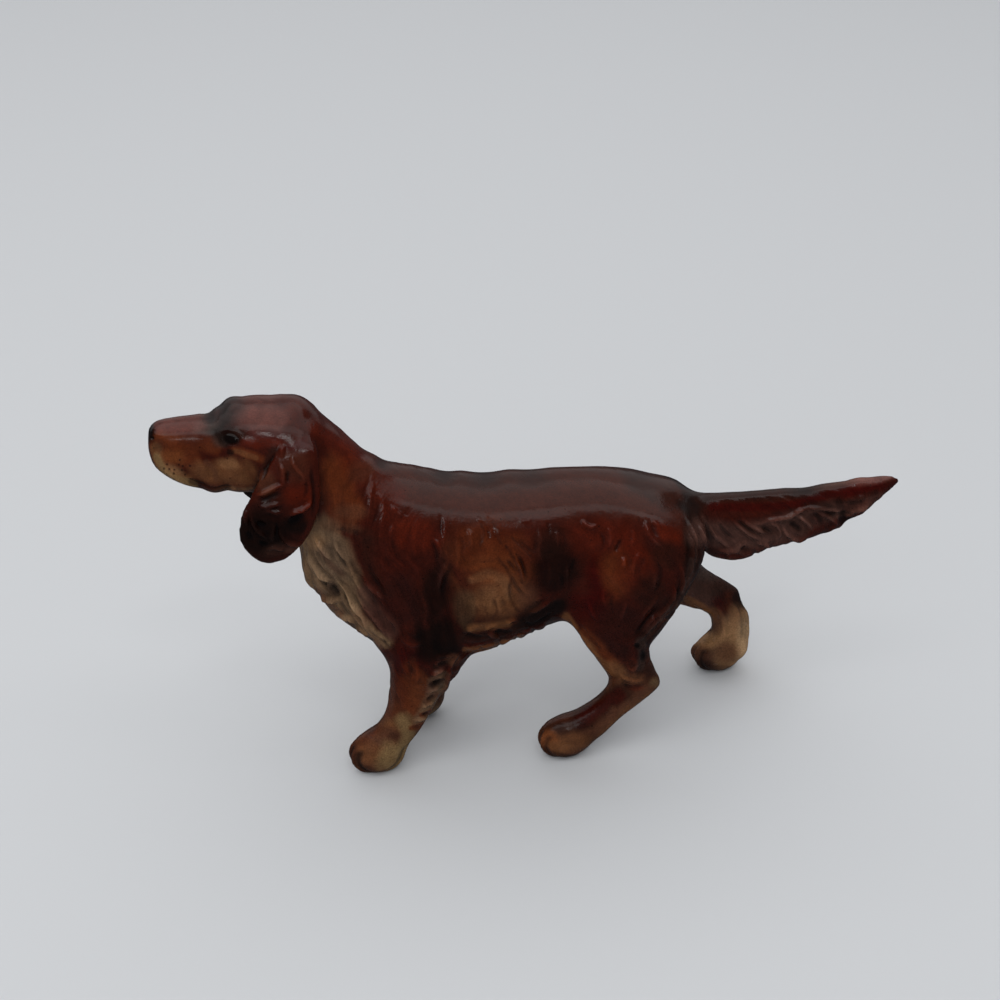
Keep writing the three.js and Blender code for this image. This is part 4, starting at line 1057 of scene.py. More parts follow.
BODY_SPRAY = [
    # Topline
    ("umber", 0.35, 11, [(425, 478), (470, 481), (545, 480)]),
    ("umber", 0.7, 15, [(640, 482), (668, 490), (700, 503)]),
    # Neck
    ("rust", 0.8, 17, [(338, 468), (342, 488), (346, 508)]),
    ("red", 0.45, 12, [(322, 424), (336, 440), (356, 456)]),
    ("red", 0.55, 16, [(352, 452), (364, 470), (392, 500)]),
    ("brown", 0.55, 350, 512, 17, 8, 0),
    ("brown", 0.3, 362, 472, 13, 12, 0),
    # Bib
    ("cream", 0.95, 20, [(320, 540), (322, 560), (330, 583), (345, 603)]),
    ("cream", 0.8, 9, [(340, 545), (347, 566), (352, 584), (356, 600)]),
    ("cream", 0.85, 7, [(328, 604), (345, 617), (365, 631), (384, 642)]),
    ("olive", 0.5, 309, 568, 7, 20, -10),
    ("umber", 0.6, 333, 590, 9, 9, 40),
    ("brown", 0.6, 3, [(322, 552), (330, 564), (342, 574)]),
    ("brown", 0.6, 3, [(318, 590), (328, 604), (342, 613)]),
    ("umber", 0.45, 353, 566, 4, 9, -20),
    ("umber", 0.5, 365, 535, 12, 9, 20),
    ("brown", 0.5, 340, 527, 20, 6, 5),
    ("umber", 0.7, 7, [(369, 543), (370, 562), (377, 580), (388, 592)]),
    ("mauve", 0.75, 9, [(364, 594), (374, 611), (388, 630)]),
    ("umber", 0.6, 3, [(372, 626), (382, 637), (394, 650)]),
    ("mauve", 0.5, 5, [(338, 624), (356, 634), (378, 647)]),
    ("umber", 0.5, 2.4, [(348, 622), (358, 629), (370, 640)]),
    ("grey", 0.35, 330, 560, 18, 26, -20),
    ("sand", 0.35, 314, 541, 12, 8, 0),
    # Painted highlights along the bib's ridges
    ("pale", 0.22, 2.2, [(337, 582), (350, 598), (365, 619), (388, 643)]),
    ("pale", 0.15, 2.4, [(306, 550), (313, 564), (326, 579)]),
    # Shoulder
    ("mahogany", 0.6, 398, 560, 26, 36, 0),
    ("red", 0.65, 412, 532, 26, 16, 20),
    ("plum", 0.6, 398, 605, 24, 26, 0),
    ("black", 0.8, 435, 592, 15, 30, 15),
    ("black", 0.9, 440, 636, 27, 20, 0),
    ("plum", 0.8, 448, 562, 9, 24, 10),
    # Flank
    ("rust", 0.55, 492, 554, 36, 32, 0),
    ("orange", 0.3, 494, 582, 34, 24, 0),
    ("tan", 0.65, 498, 602, 29, 22, 0),
    ("sand", 0.14, 486, 600, 18, 14, 0),
    ("olive", 0.5, 466, 608, 10, 18, 0),
    ("umber", 0.45, 464, 600, 11, 19, 0),
    ("deep_red", 0.35, 498, 530, 14, 8, 0),
    ("brown", 0.6, 528, 600, 13, 15, -20),
    ("sand", 0.15, 5, [(472, 580), (490, 574), (504, 582), (508, 596)]),
    ("umber", 0.55, 1.4, [(512, 538), (522, 548), (530, 556)]),
    ("umber", 0.6, 1.4, [(506, 546), (513, 557), (519, 570), (522, 582)]),
    ("umber", 0.5, 1.4, [(498, 558), (506, 568), (511, 578)]),
    ("umber", 0.55, 1.6, [(511, 580), (509, 592), (513, 604), (520, 613)]),
    ("umber", 0.45, 1.4, [(495, 601), (497, 611), (493, 619)]),
    ("umber", 0.45, 1.4, [(484, 606), (487, 615), (483, 622)]),
    ("umber", 0.45, 1.4, [(476, 608), (475, 617), (471, 624)]),
    ("umber", 0.4, 1.4, [(481, 524), (484, 535), (480, 546)]),
    ("umber", 0.4, 1.4, [(493, 522), (497, 533), (501, 543)]),
    ("mahogany", 0.6, 531, 526, 20, 10, 10),
    ("black", 0.8, 557, 572, 22, 31, 0),
    ("umber", 0.6, 553, 542, 18, 14, 0),
    ("black", 0.5, 532, 610, 14, 9, -25),
    # Belly
    ("umber", 0.8, 5, [(462, 638), (480, 637), (500, 636), (516, 629)]),
    ("black", 0.9, 8, [(524, 622), (536, 619), (548, 613), (560, 607)]),
    ("tan", 0.85, 4, [(472, 628), (490, 626), (508, 624)]),
    ("tan", 0.6, 3.2, [(466, 649), (485, 648), (505, 643), (522, 636)]),
    ("grey", 0.5, 3, [(522, 637), (537, 631), (552, 624)]),
    # Thigh
    ("red", 0.55, 608, 540, 36, 18, 0),
    ("deep_red", 0.85, 598, 590, 12, 30, 0),
    ("deep_red", 0.35, 605, 577, 10, 12, 0),
    ("deep_red", 0.6, 582, 604, 13, 16, 0),
    ("rust", 0.75, 616, 574, 15, 24, 0),
    ("red", 0.6, 634, 566, 18, 26, 0),
    ("plum", 0.65, 624, 622, 30, 22, -20),
    ("umber", 0.65, 651, 592, 16, 20, -20),
    ("red", 0.85, 666, 533, 15, 9, 20),
    ("umber", 0.6, 664, 555, 14, 14, 0),
    ("umber", 0.6, 9, [(688, 505), (693, 530), (695, 560), (686, 590), (668, 612), (650, 632)]),
    ("black", 0.4, 9, [(690, 500), (698, 525), (696, 560)]),
    ("black", 0.5, 8, [(688, 500), (692, 520), (692, 540)]),
    # Painted highlight along the ridges at the back of the thigh
    ("grey", 0.25, 2.4, [(692, 560), (684, 590), (668, 610), (650, 630)]),
    ("umber", 0.5, 5, [(697, 560), (690, 590), (672, 615), (655, 634)]),
    ("umber", 0.6, 7, [(698, 512), (699, 530), (698, 548)]),
    # Painted highlights along the ridges at the back of the thigh
    ("mauve", 0.35, 1.6, [(696, 545), (696, 560), (691, 577), (683, 592)]),
    ("mauve", 0.4, 1.6, [(664, 618), (654, 630), (645, 640)]),
    ("rust", 0.8, 7, [(584, 634), (597, 650), (612, 664)]),
    ("tan", 0.8, 4, [(566, 616), (581, 638), (596, 656), (612, 673)]),
    ("tan", 0.85, 615, 669, 13, 7, 30),
    ("tan", 0.35, 630, 679, 18, 6, 0),
    ("plum", 0.7, 620, 650, 12, 8, 30),
    ("black", 0.5, 7, [(640, 638), (643, 654), (641, 668)]),
    ("grey", 0.3, 5, [(640, 642), (643, 654), (640, 666)]),
    ("black", 0.9, 637, 646, 3, 3, 0),
    ("black", 0.95, 643, 655, 3, 5, 0),
    ("umber", 0.7, 650, 675, 6, 9, 0),
    ("olive", 0.8, 655, 684, 6, 7, 0),
    ("red", 0.6, 634, 688, 9, 3, 0),
    # Near metatarsus and paw
    ("umber", 0.7, 10, [(624, 692), (602, 706), (582, 720)]),
    ("deep_red", 0.7, 7, [(618, 695), (600, 707), (580, 721)]),
    ("brown", 0.85, 7, [(650, 693), (626, 712), (602, 733)]),
    ("tan", 0.5, 4, [(648, 696), (624, 715), (602, 737)]),
    ("umber", 0.7, 562, 730, 20, 8, -15),
    ("tan", 0.6, 572, 744, 22, 10, 0),
    ("orange", 0.8, 549, 742, 9, 9, 0),
    ("tan", 0.8, 560, 748, 12, 6, 0),
    ("umber", 0.25, 588, 734, 11, 10, 0),
    ("umber", 0.6, 3, [(541, 748), (556, 755), (578, 757), (592, 750)]),
    # Foreleg
    ("deep_red", 0.8, 408, 664, 17, 15, 0),
    ("brown", 0.3, 390, 745, 12, 8, -20),
    ("black", 0.75, 432, 653, 18, 11, 0),
    ("rust", 0.85, 412, 690, 15, 22, 0),
    ("orange", 0.3, 420, 696, 8, 20, 10),
    ("mahogany", 0.45, 398, 690, 8, 22, 0),
    # Painted reflection down the front edge of the foreleg
    ("mauve", 0.6, 3, [(391, 662), (392, 690), (390, 710), (384, 725)]),
    ("rust", 0.5, 402, 712, 14, 11, 0),
    ("tan", 0.8, 399, 726, 15, 8, 0),
    ("straw", 0.7, 8, [(403, 720), (408, 736), (403, 750)]),
    ("cream", 0.75, 7, [(440, 677), (438, 682), (431, 703), (421, 723)]),
    ("mauve", 0.4, 5, [(440, 666), (436, 680), (430, 692)]),
    ("umber", 0.85, 2.8, [(436, 667), (443, 664), (450, 662)]),
    ("brown", 0.6, 452, 660, 7, 5, 0),
    ("umber", 0.85, 2.8, [(432, 685), (438, 682), (443, 679)]),
    ("brown", 0.8, 2.8, [(426, 701), (431, 698), (437, 695)]),
    ("rust", 0.85, 2.2, [(421, 715), (426, 714), (431, 711)]),
    ("rust", 0.85, 3, [(411, 728), (417, 727), (423, 725)]),
    # Near fore paw
    ("rust", 0.5, 378, 744, 22, 14, -15),
    ("tan", 0.65, 374, 752, 20, 12, -15),
    ("brown", 0.85, 387, 737, 13, 8, -30),
    ("umber", 0.4, 394, 736, 6, 5, -30),
    ("straw", 0.75, 395, 757, 19, 14, -30),
    ("plum", 0.7, 352, 756, 6, 12, 10),
    ("umber", 0.5, 364, 769, 12, 4, 10),
    # Tail
    ("umber", 0.75, 9, [(700, 496), (740, 496), (790, 494), (820, 489)]),
    # Painted highlight along the top edge of the tail
    ("mauve", 0.8, 860, 479, 36, 6, -12),
    ("mahogany", 0.8, 8, [(712, 510), (760, 509), (795, 506), (830, 497), (880, 485)]),
    ("deep_red", 0.7, 4, [(712, 507), (760, 507), (795, 504), (830, 494), (880, 482)]),
    ("plumage", 0.9, 13, [(700, 532), (735, 537), (768, 533), (795, 526)]),
    ("plumage", 0.85, 9, [(790, 524), (815, 516), (832, 510)]),
    ("plumage", 0.55, 7, [(828, 513), (850, 507), (880, 498)]),
    ("umber", 0.6, 713, 551, 7, 4, 0),
    ("umber", 0.35, 742, 547, 10, 4, 10),
    ("umber", 0.5, 770, 530, 9, 5, 10),
    ("umber", 0.45, 797, 526, 12, 7, 20),
    ("plum", 0.6, 820, 517, 11, 6, -15),
    ("umber", 0.3, 852, 505, 12, 3, -15),
    ("umber", 0.55, 4, [(806, 506), (822, 505), (838, 504)]),
    ("deep_red", 0.7, 866, 491, 26, 5, -13),
    ("umber", 0.6, 2.4, [(838, 502), (856, 498), (876, 492)]),
    # Painted highlights: along a feather ridge, and along the top edge of the tail
    ("mauve", 0.4, 2, [(838, 517), (856, 511), (872, 503)]),
    ("painted_sheen", 0.5, 876, 477, 24, 6, -12),
]

HEAD_SPRAY = [
    ("black", 0.65, 231, 410, 13, 16, -20),
    ("black", 0.7, 8, [(213, 426), (222, 420), (231, 411)]),
    ("red", 0.5, 9, [(160, 430), (180, 428), (200, 428)]),
    ("grey", 0.5, 207, 428, 13, 8, 0),
    ("rust", 0.9, 8, [(155, 441), (175, 442), (195, 444), (215, 446)]),
    ("mahogany", 0.5, 196, 440, 18, 6, 0),
    ("rust", 0.8, 176, 452, 24, 10, 10),
    ("orange", 0.75, 170, 457, 18, 9, 15),
    ("tan", 0.8, 6, [(156, 450), (161, 463), (172, 473), (188, 481)]),
    ("straw", 0.6, 4, [(157, 457), (164, 469), (176, 478), (194, 485)]),
    ("rust", 0.6, 192, 463, 10, 6, 20),
    ("tan", 0.7, 204, 472, 15, 9, 20),
    ("tan", 0.7, 232, 471, 22, 13, 0),
    ("sand", 0.2, 228, 464, 11, 5, 10),
    ("brown", 0.5, 3, [(206, 462), (214, 470), (216, 478)]),
    ("sand", 0.3, 236, 489, 24, 3, 0),
    ("red", 0.8, 256, 440, 24, 7, 0),
    ("rust", 0.7, 4, [(234, 450), (246, 453), (262, 460)]),
    ("tan", 0.5, 2.6, [(235, 451), (245, 454), (256, 458)]),
    ("umber", 0.7, 5, [(274, 452), (264, 470), (256, 492)]),
    ("umber", 0.65, 3.2, [(192, 481), (204, 484), (216, 487), (228, 487)]),
    ("umber", 0.5, 2.0, [(238, 487), (246, 492)]),
    ("grey", 0.6, 221, 441, 8, 7, 0),
    ("black", 0.85, 228, 435, 14, 10, 20),
    ("umber", 0.8, 241, 434, 10, 5, 10),
    ("black", 0.6, 224, 442, 6, 6, 0),
    ("black", 0.8, 230.5, 452, 4.4, 3.2, 10),
    ("mahogany", 0.3, 192, 446, 18, 5, 5),
    ("tan", 0.5, 246, 481, 10, 6, 0),
    ("deep_red", 0.6, 266, 434, 20, 5, 5),
    # Painted sheen on the top of the muzzle and on the skull
    ("painted_sheen", 0.3, 182, 426, 26, 7, -4),
    ("painted_sheen", 0.3, 264, 418, 26, 12, 0),
    ("sand", 0.35, 174, 470, 11, 6, 35),
]

EAR_SPRAY = [
    ("brown", 0.2, 295, 465, 15, 16, 0),
    ("deep_red", 0.7, 292, 442, 18, 9, 10),
    ("red", 0.7, 298, 495, 16, 10, 0),
    ("umber", 0.5, 270, 499, 14, 6, 0),
    ("brown", 0.45, 266, 483, 9, 12, 0),
    ("plum", 0.7, 262, 509, 20, 7, 0),
    ("black", 0.95, 262, 534, 36, 26, 10),
    ("black", 0.9, 297, 525, 14, 10, -10),
    ("mahogany", 0.85, 3.4, [(313, 470), (315, 495), (312, 522), (303, 545)]),
    # Painted highlights at the tip of the ear
    ("mauve", 0.5, 293, 549, 8, 3, -20),
    ("mauve", 0.25, 280, 549, 16, 6, -15),
]


# The castings

CASTINGS = {
    "torso": "body_glaze", "head": "head_glaze", "ear_left": "ear_glaze", "ear_right": "ear_glaze",
    "tail": "tail_glaze", "foreleg_left": "leg_glaze", "foreleg_right": "leg_glaze",
    "hind_leg_left": "leg_glaze", "hind_leg_right": "leg_glaze",
}

# Heights of the legs' joints, and the middles (x, z) and normals of the neck's and the tail's
FORELEG_JOINT = 31.0
HIND_LEG_JOINT = 40.0
NECK_JOINT = (-45.05, 89.0)
NECK_NORMAL = (-0.81, 0.588)
TAIL_JOINT = (40.55, 67.0)
TAIL_NORMAL = (0.984, 0.179)

# Below this height all of the skin this near to a paw's middle belongs to its leg
LOW_LEG = 20.0
LOW_LEG_REACH = 26.0

# Columns of the vertices' table
PLACE = slice(0, 3)
NORMAL = slice(3, 6)
COLOUR = slice(6, 9)
RELIEF = 9
COMB = slice(10, 13)
LONG_COAT = 13

# The bare clay of the joints, which the glaze doesn't reach
BARE_CLAY = (0.6, 0.56, 0.5, 1.0)


def beyond(points, place, normal):
    """How far each vertex lies on the outer side of a flat joint."""
    return (points[:, 0] - place[0]) * normal[0] + (points[:, 2] - place[1]) * normal[1]


def casting_scalars(points, near):
    """For each casting but the torso, a value per vertex that is above zero on that casting."""
    scalars = {}
    body = np.minimum(near["trunk"], near["neck"])
    others = np.minimum(body, near["head"])
    for name in ("ear_left", "ear_right"):
        scalars[name] = others - near[name]
    scalars["head"] = beyond(points, NECK_JOINT, NECK_NORMAL)
    tail = beyond(points, TAIL_JOINT, TAIL_NORMAL)
    scalars["tail"] = np.minimum(tail, near["hind_leg_right"] - near["tail"])
    for name in LEGS:
        joint = HIND_LEG_JOINT if name.startswith("hind") else FORELEG_JOINT
        x, y = PAWS[name]
        own = np.abs(points[:, 0] - x - FRAME_SHIFT) < LOW_LEG_REACH
        own &= points[:, 1] * y > 0
        parting = near["trunk"] - near[name]
        parting = np.where((points[:, 2] < LOW_LEG) & own, FAR, parting)
        scalars[name] = np.minimum(joint - points[:, 2], parting)
    return scalars


def part_skin(table, faces, scalars):
    """Labels each face with its casting, cutting the faces that a joint crosses."""
    names = list(CASTINGS)
    labels = np.full(len(faces), names.index("torso"))
    first = table.shape[1]
    table = np.hstack([table] + [scalars[name][:, None] for name in names[1:]])
    for new, name in enumerate(names[1:], 1):
        source = names.index("head" if name.startswith("ear") else "torso")
        scalar = table[:, first + new - 1]
        table, faces, labels = parted(table, faces, labels, scalar, source, new)
        mine = np.flatnonzero(labels == new)
        stray = mine[~largest_part(faces[mine], len(table))]
        labels[stray] = source
    return table, faces, labels


def casting_mesh(name, table, faces):
    """One closed mesh from rows of the table, with a fan of bare clay over each joint."""
    used, compact = np.unique(faces, return_inverse=True)
    faces = compact.reshape(-1, 3)
    rows = table[used]
    places = [rows[:, PLACE]]
    caps = []
    count = len(rows)
    for loop in open_loops(faces, count):
        places.append(rows[loop, PLACE].mean(axis=0)[None])
        following = loop[1:] + loop[:1]
        caps.append(np.stack([loop, following, np.full(len(loop), count)], axis=1))
        count += 1
    places = np.vstack(places)
    every = np.vstack([faces] + caps)
    mesh = bpy.data.meshes.new(name)
    mesh.vertices.add(len(places))
    mesh.vertices.foreach_set("co", (places * MM).ravel())
    mesh.loops.add(len(every) * 3)
    mesh.loops.foreach_set("vertex_index", every.ravel().astype(np.int32))
    mesh.polygons.add(len(every))
    mesh.polygons.foreach_set("loop_start", (np.arange(len(every)) * 3).astype(np.int32))
    mesh.polygons.foreach_set("use_smooth", np.ones(len(every), dtype=bool))
    mesh.update(calc_edges=True)
    added = count - len(rows)
    normals = np.vstack([rows[:, NORMAL], np.zeros((added, 3))])[every]
    corners = places[every]
    flat = np.cross(corners[:, 1] - corners[:, 0], corners[:, 2] - corners[:, 0])
    flat /= np.maximum(np.linalg.norm(flat, axis=1), 1e-12)[:, None]
    normals[len(faces):] = flat[len(faces):, None, :]
    mesh.normals_split_custom_set(normals.reshape(-1, 3).tolist())
    paint = mesh.attributes.new("paint", "FLOAT_COLOR", "POINT")
    bare = np.tile(BARE_CLAY, (added, 1))
    painted = np.vstack([np.hstack([rows[:, COLOUR], np.ones((len(rows), 1))]), bare])
    paint.data.foreach_set("color", painted.ravel().astype(np.float32))
    for key, column in (("relief", RELIEF), ("coat", LONG_COAT)):
        values = np.concatenate([rows[:, column], np.zeros(added)])
        mesh.attributes.new(key, "FLOAT", "POINT").data.foreach_set("value", values.astype("f"))
    comb = np.vstack([rows[:, COMB], np.zeros((added, 3))]).ravel()
    mesh.attributes.new("comb", "FLOAT_VECTOR", "POINT").data.foreach_set("vector", comb.astype("f"))
    return mesh


# Shaping and painting

# The front of the head, before this X and above this height, gets the finest mesh, and the legs
# get a fine one below this height
HEAD_REFINED = (-70.0, 80.0)
LEG_REFINED = 29.0

# The far legs: their form, how far from the paw they reach at the ground, and the heights between
# which they fade into the body
FAR_LEGS = {
    "far_foreleg": ("foreleg_right", 14.0, (46, 36)),
    "far_hind": ("hind_leg_right", 12.0, (52, 42)),
}
FAR_LEG_FLARE = 0.4
FAR_LEG_BORDER = (-1.5, 2.5)
EAR_BORDER = (-0.25, 0.25)
OWN_REACH = 4.5

# Parts of the normals' Z between which the coat, the locks and the back's paint fade in
COAT_FROM_TOP = (0.85, 0.4)
COAT_FROM_BELOW = (-0.98, -0.7)
LOCKS_FROM_TOP = (0.88, 0.55)
FAR_LOCKS_FROM_TOP = (0.86, 0.5)
BACK_UPWARD = (0.5, 0.97)

# Heights in mm between which the legs' coat, the legs' paint and the relief above the soles grow
LEG_COAT = (16, 30)
LEG_PAINT = (36, 20)
SOLE_RELIEF = (0.0, 1.2)
SOLE_LIMIT = 0.12

# Noise as (feature size in mm, seed). Of the coat's, the size is across, through and along the hair
BROAD_WARP = ((12, 12, 12), 3)
FINE_WARP = ((5, 5, 5), 4)
BROAD_WAVES = ((3.4, 30, 12), 5)
FINE_WAVES = ((1.8, 30, 7), 6)
BROAD_UNEVEN = ((4, 30, 9), 22)
FINE_UNEVEN = ((1.3, 30, 5), 21)
RAGGED_SPOTS = ((3.2, 3.2, 3.2), 11)
RAGGED_HAIR = ((1.9, 30, 8), 12)

# The toes: how far back and how high they are parted, and their grooves with a ridge beside them
TOE_BACK_FADE = (0.1, -0.45)
TOE_TOP_FADE = (9.6, 7.6)
TOE_SIDE_FADE = (PAW_WIDTH / 2 + 2.5, PAW_WIDTH / 2 + 1.0)
TOE_GROOVES = (-2.5, 0.0, 2.5)
TOE_GROOVE_HALF = 0.55
TOE_GROOVE_DEPTH = 0.55
TOE_RIDGE_PLACE = 1.3
TOE_RIDGE_HALF = 0.7
TOE_RIDGE_HEIGHT = 0.14

# How much of the relief's local mean is taken away, and over how many passes it is taken
EVENED = 0.7
EVENED_PASSES = 40

# How much a height of 1 mm brightens a ridge as a painted highlight and darkens a groove as painted
# shade
RIDGE_HIGHLIGHT = 0.85
GROOVE_SHADE = 1.25
TONE_LIMITS = (0.35, 1.7)

# Soft edges of the painted eye and nose, and the heights in mm over which a ridge gets a grey
# painted highlight
EYE_EDGE = (1.3, 0.7)
NOSE_EDGE = (1.35, 0.5)
GREY_RIDGE_HIGHLIGHT = (0.3, 0.8)


def shaped_skin():
    """Points and faces of the smooth skin, and each vertex's distance to each form."""
    skin, forms = build_skin()
    points, faces = skin_mesh(skin)
    faces = outward(points, faces)
    points = relax(points, faces, 2)
    near = {name: distances(points, field) for name, field in forms.items()}
    busy = detailed(points, reference_places(points, owners(points, near)))
    points, faces = refined(points, faces, busy)
    points = relax(points, faces, 2, 0.4)
    face_front = (points[:, 0] < HEAD_REFINED[0]) & (points[:, 2] > HEAD_REFINED[1])
    points, faces = refined(points, faces, face_front)
    front = points[:, 0] < HEAD_REFINED[0] + 2
    points = relax(points, faces, 2, where=front.astype(float))
    near = {name: distances(points, field) for name, field in forms.items()}
    return points, faces, near


def detailed(points, view):
    """Which vertices need a fine mesh: the carved locks, the head, the tail and the legs."""
    busy = beyond(points, NECK_JOINT, NECK_NORMAL) > -0.5
    busy |= beyond(points, TAIL_JOINT, TAIL_NORMAL) > -0.5
    busy |= points[:, 2] < LEG_REFINED
    for strokes in STROKES.values():
        for width, _, line in strokes:
            reach = width * PIXELS_PER_MM * LOCK_REACH + 1
            busy[along_line(view, curve(line), reach)[0]] = True
    return busy


def owners(points, near):
    """How much each vertex belongs to the parts that are carved and painted by themselves."""
    body = np.minimum(near["trunk"], near["neck"])
    rest = np.minimum(body, near["head"])
    ears = np.minimum(near["ear_left"], near["ear_right"])
    share = {"ear": smoothstep(*EAR_BORDER, rest - ears) * (ears < OWN_REACH)}
    for part, (name, reach, fade) in FAR_LEGS.items():
        x = PAWS[name][0] + FRAME_SHIFT
        within = np.abs(points[:, 0] - x) < reach + FAR_LEG_FLARE * points[:, 2]
        mine = smoothstep(*FAR_LEG_BORDER, near["trunk"] - near[name])
        mine = np.where(points[:, 2] < LOW_LEG, 1.0, mine * (near[name] < OWN_REACH))
        share[part] = mine * smoothstep(*fade, points[:, 2]) * within * (points[:, 1] > 0)
    return share


def reference_places(points, share):
    """Pixels of the vertices in the reference view, with the far side mirrored onto the near one,
    the far foreleg moved onto the near foreleg and the far side of the face moved up."""
    placed = points.copy()
    placed[:, 0] -= FAR_FORELEG_SET_BACK * share["far_foreleg"]
    view = in_view(placed)
    far = smoothstep(*FAR_SIDE, points[:, 1])
    view[:, 1] -= FAR_FACE_DROP * far * smoothstep(*FAR_FACE_FADE, view[:, 0])
    return view


def from_eye(view):
    """How far each vertex lies from the eye's middle, along the slanted eye and across it."""
    along = view[:, 0] - EYE[0]
    return along, view[:, 1] - EYE[1] - EYE_SLANT * along


def dot_relief(view, u, v, reach, height):
    """A round bump, or a dip where the height is below zero."""
    spread = np.hypot(view[:, 0] - u, view[:, 1] - v) / reach
    return height * np.clip(1 - spread ** 2, 0, 1) ** 2


def head_relief(view):
    """The eye in its lids, the nostril, the brow, the cheek and the roots of the whiskers."""
    along, across = from_eye(view)
    away = np.hypot(along / EYE_LENGTH, across)
    radius, rise = EYEBALL
    height = rise * np.sqrt(np.clip(1 - (away / radius) ** 2, 0, 1))
    radius, half, rise = EYE_GROOVE
    height += rise * np.exp(-((away - radius) / half) ** 2)
    radius, half, rise = EYELID
    rise = UPPER_LID * smoothstep(*UPPER_LID_FADE, view[:, 1] - EYE[1]) + rise
    height += rise * np.exp(-((away - radius) / half) ** 2)
    for dot in FACE_DOTS:
        height += dot_relief(view, *dot)
    for u, v in WHISKERS:
        height += dot_relief(view, u, v, WHISKER_REACH, -WHISKER_DEPTH)
    return height


def broad_forms(points, share):
    """Broad forms that show in the dog's outline. Here the far side isn't a mirror image."""
    view = in_view(points, False)
    near = (1 - share["ear"]) * (1 - share["far_hind"]) * (1 - share["far_foreleg"])
    height = near * sum(dot_relief(view, *dot) for dot in OUTLINE_DOTS)
    return height + share["far_hind"] * sum(dot_relief(view, *dot) for dot in FAR_HIND_DOTS)


def combed(points):
    """Coordinates in millimetres that follow the coat: across, through and along the hair."""
    x, y, z = points.T
    around = np.abs(y) * (1 - 2 * smoothstep(-25, 15, x))
    warp = 1.8 * noise(points, *BROAD_WARP) + 0.7 * noise(points, *FINE_WARP)
    lean = 0.35 * (z - 60) + 1.6 * np.sin((z - 0.4 * x) / 6.5)
    return np.stack([x + around + warp + lean, 0.15 * y, z + 0.3 * warp], axis=1)


def coat_share(points, view, normals, share):
    """Where the coat is long: not on the face, the ears, the paws and the smooth back."""
    up = normals[:, 2]
    calm = smoothstep(*COAT_FROM_TOP, up) * smoothstep(*COAT_FROM_BELOW, up)
    column = view[:, 0]
    body = smoothstep(*COAT_FADE, column) * (1 - share["ear"])
    legs = smoothstep(*LEG_COAT, points[:, 2])
    thigh = 1 - 0.5 * smoothstep(*THIGH_FRONT_FADE, column) * smoothstep(*THIGH_REAR_FADE, column)
    return (0.1 + 0.9 * calm) * body * (0.15 + 0.85 * legs) * thigh


def wavy_coat(comb):
    """Shallow locks of hair between the carved ones."""
    broad = 1 - 2 * np.abs(noise(comb, *BROAD_WAVES))
    fine = 1 - 2 * np.abs(noise(comb, *FINE_WAVES))
    return 0.2 * broad + 0.08 * fine


def toe_relief(points):
    """Three grooves that part the toes of each paw."""
    height = np.zeros(len(points))
    for x, y in PAWS.values():
        front = (points[:, 0] - x - FRAME_SHIFT) / (PAW_LENGTH / 2)
        across = points[:, 1] - y
        share = smoothstep(*TOE_BACK_FADE, front) * smoothstep(*TOE_TOP_FADE, points[:, 2])
        share *= smoothstep(*TOE_SIDE_FADE, np.abs(across))
        for offset in TOE_GROOVES:
            groove = np.exp(-((across - offset) / TOE_GROOVE_HALF) ** 2)
            ridge = np.exp(-((across - offset - TOE_RIDGE_PLACE) / TOE_RIDGE_HALF) ** 2)
            height -= TOE_GROOVE_DEPTH * share * groove
            height += TOE_RIDGE_HEIGHT * share * ridge
    return height


def carved_relief(points, normals, faces, view, share, comb, long_coat):
    """The height of the coat's locks and of the face above the smooth skin, in millimetres."""
    coat = 1 - share["ear"]
    hidden = 1 - share["far_hind"]
    uneven = 1 + 0.4 * noise(comb, *FINE_UNEVEN) + 0.2 * noise(comb, *BROAD_UNEVEN)
    up = normals[:, 2]
    steep = np.where(points[:, 1] > 0, smoothstep(*FAR_LOCKS_FROM_TOP, up),
                     smoothstep(*LOCKS_FROM_TOP, up))
    height = np.zeros(len(points))
    for group, strokes in STROKES.items():
        if group == "ear":
            weight = share["ear"] * EAR_SCALE
        else:
            weight = coat * hidden * uneven * GROUP_WEIGHT[group] * steep
        height += carve(view, strokes, weight)
    height += carve(view, MOUTH, coat)
    height += carve(in_view(points, False), FAR_HIND_STROKES, share["far_hind"])
    height += head_relief(view) * coat * smoothstep(*FACE_FADE, view[:, 0])
    height += dot_relief(view, *EAR_DOT) * share["ear"]
    height += wavy_coat(comb) * long_coat
    height += toe_relief(points)
    spread = height[:, None]
    for _ in range(EVENED_PASSES):
        spread = 0.5 * (spread + neighbour_mean(spread, faces, len(points)))
    return height - EVENED * spread[:, 0] + broad_forms(points, share)


def covered(colours, name, share, light=1.0):
    """The colours with a share of a paint laid over them. light makes the paint lighter."""
    return colours + (linear(PAINT[name]) * light - colours) * share[:, None]


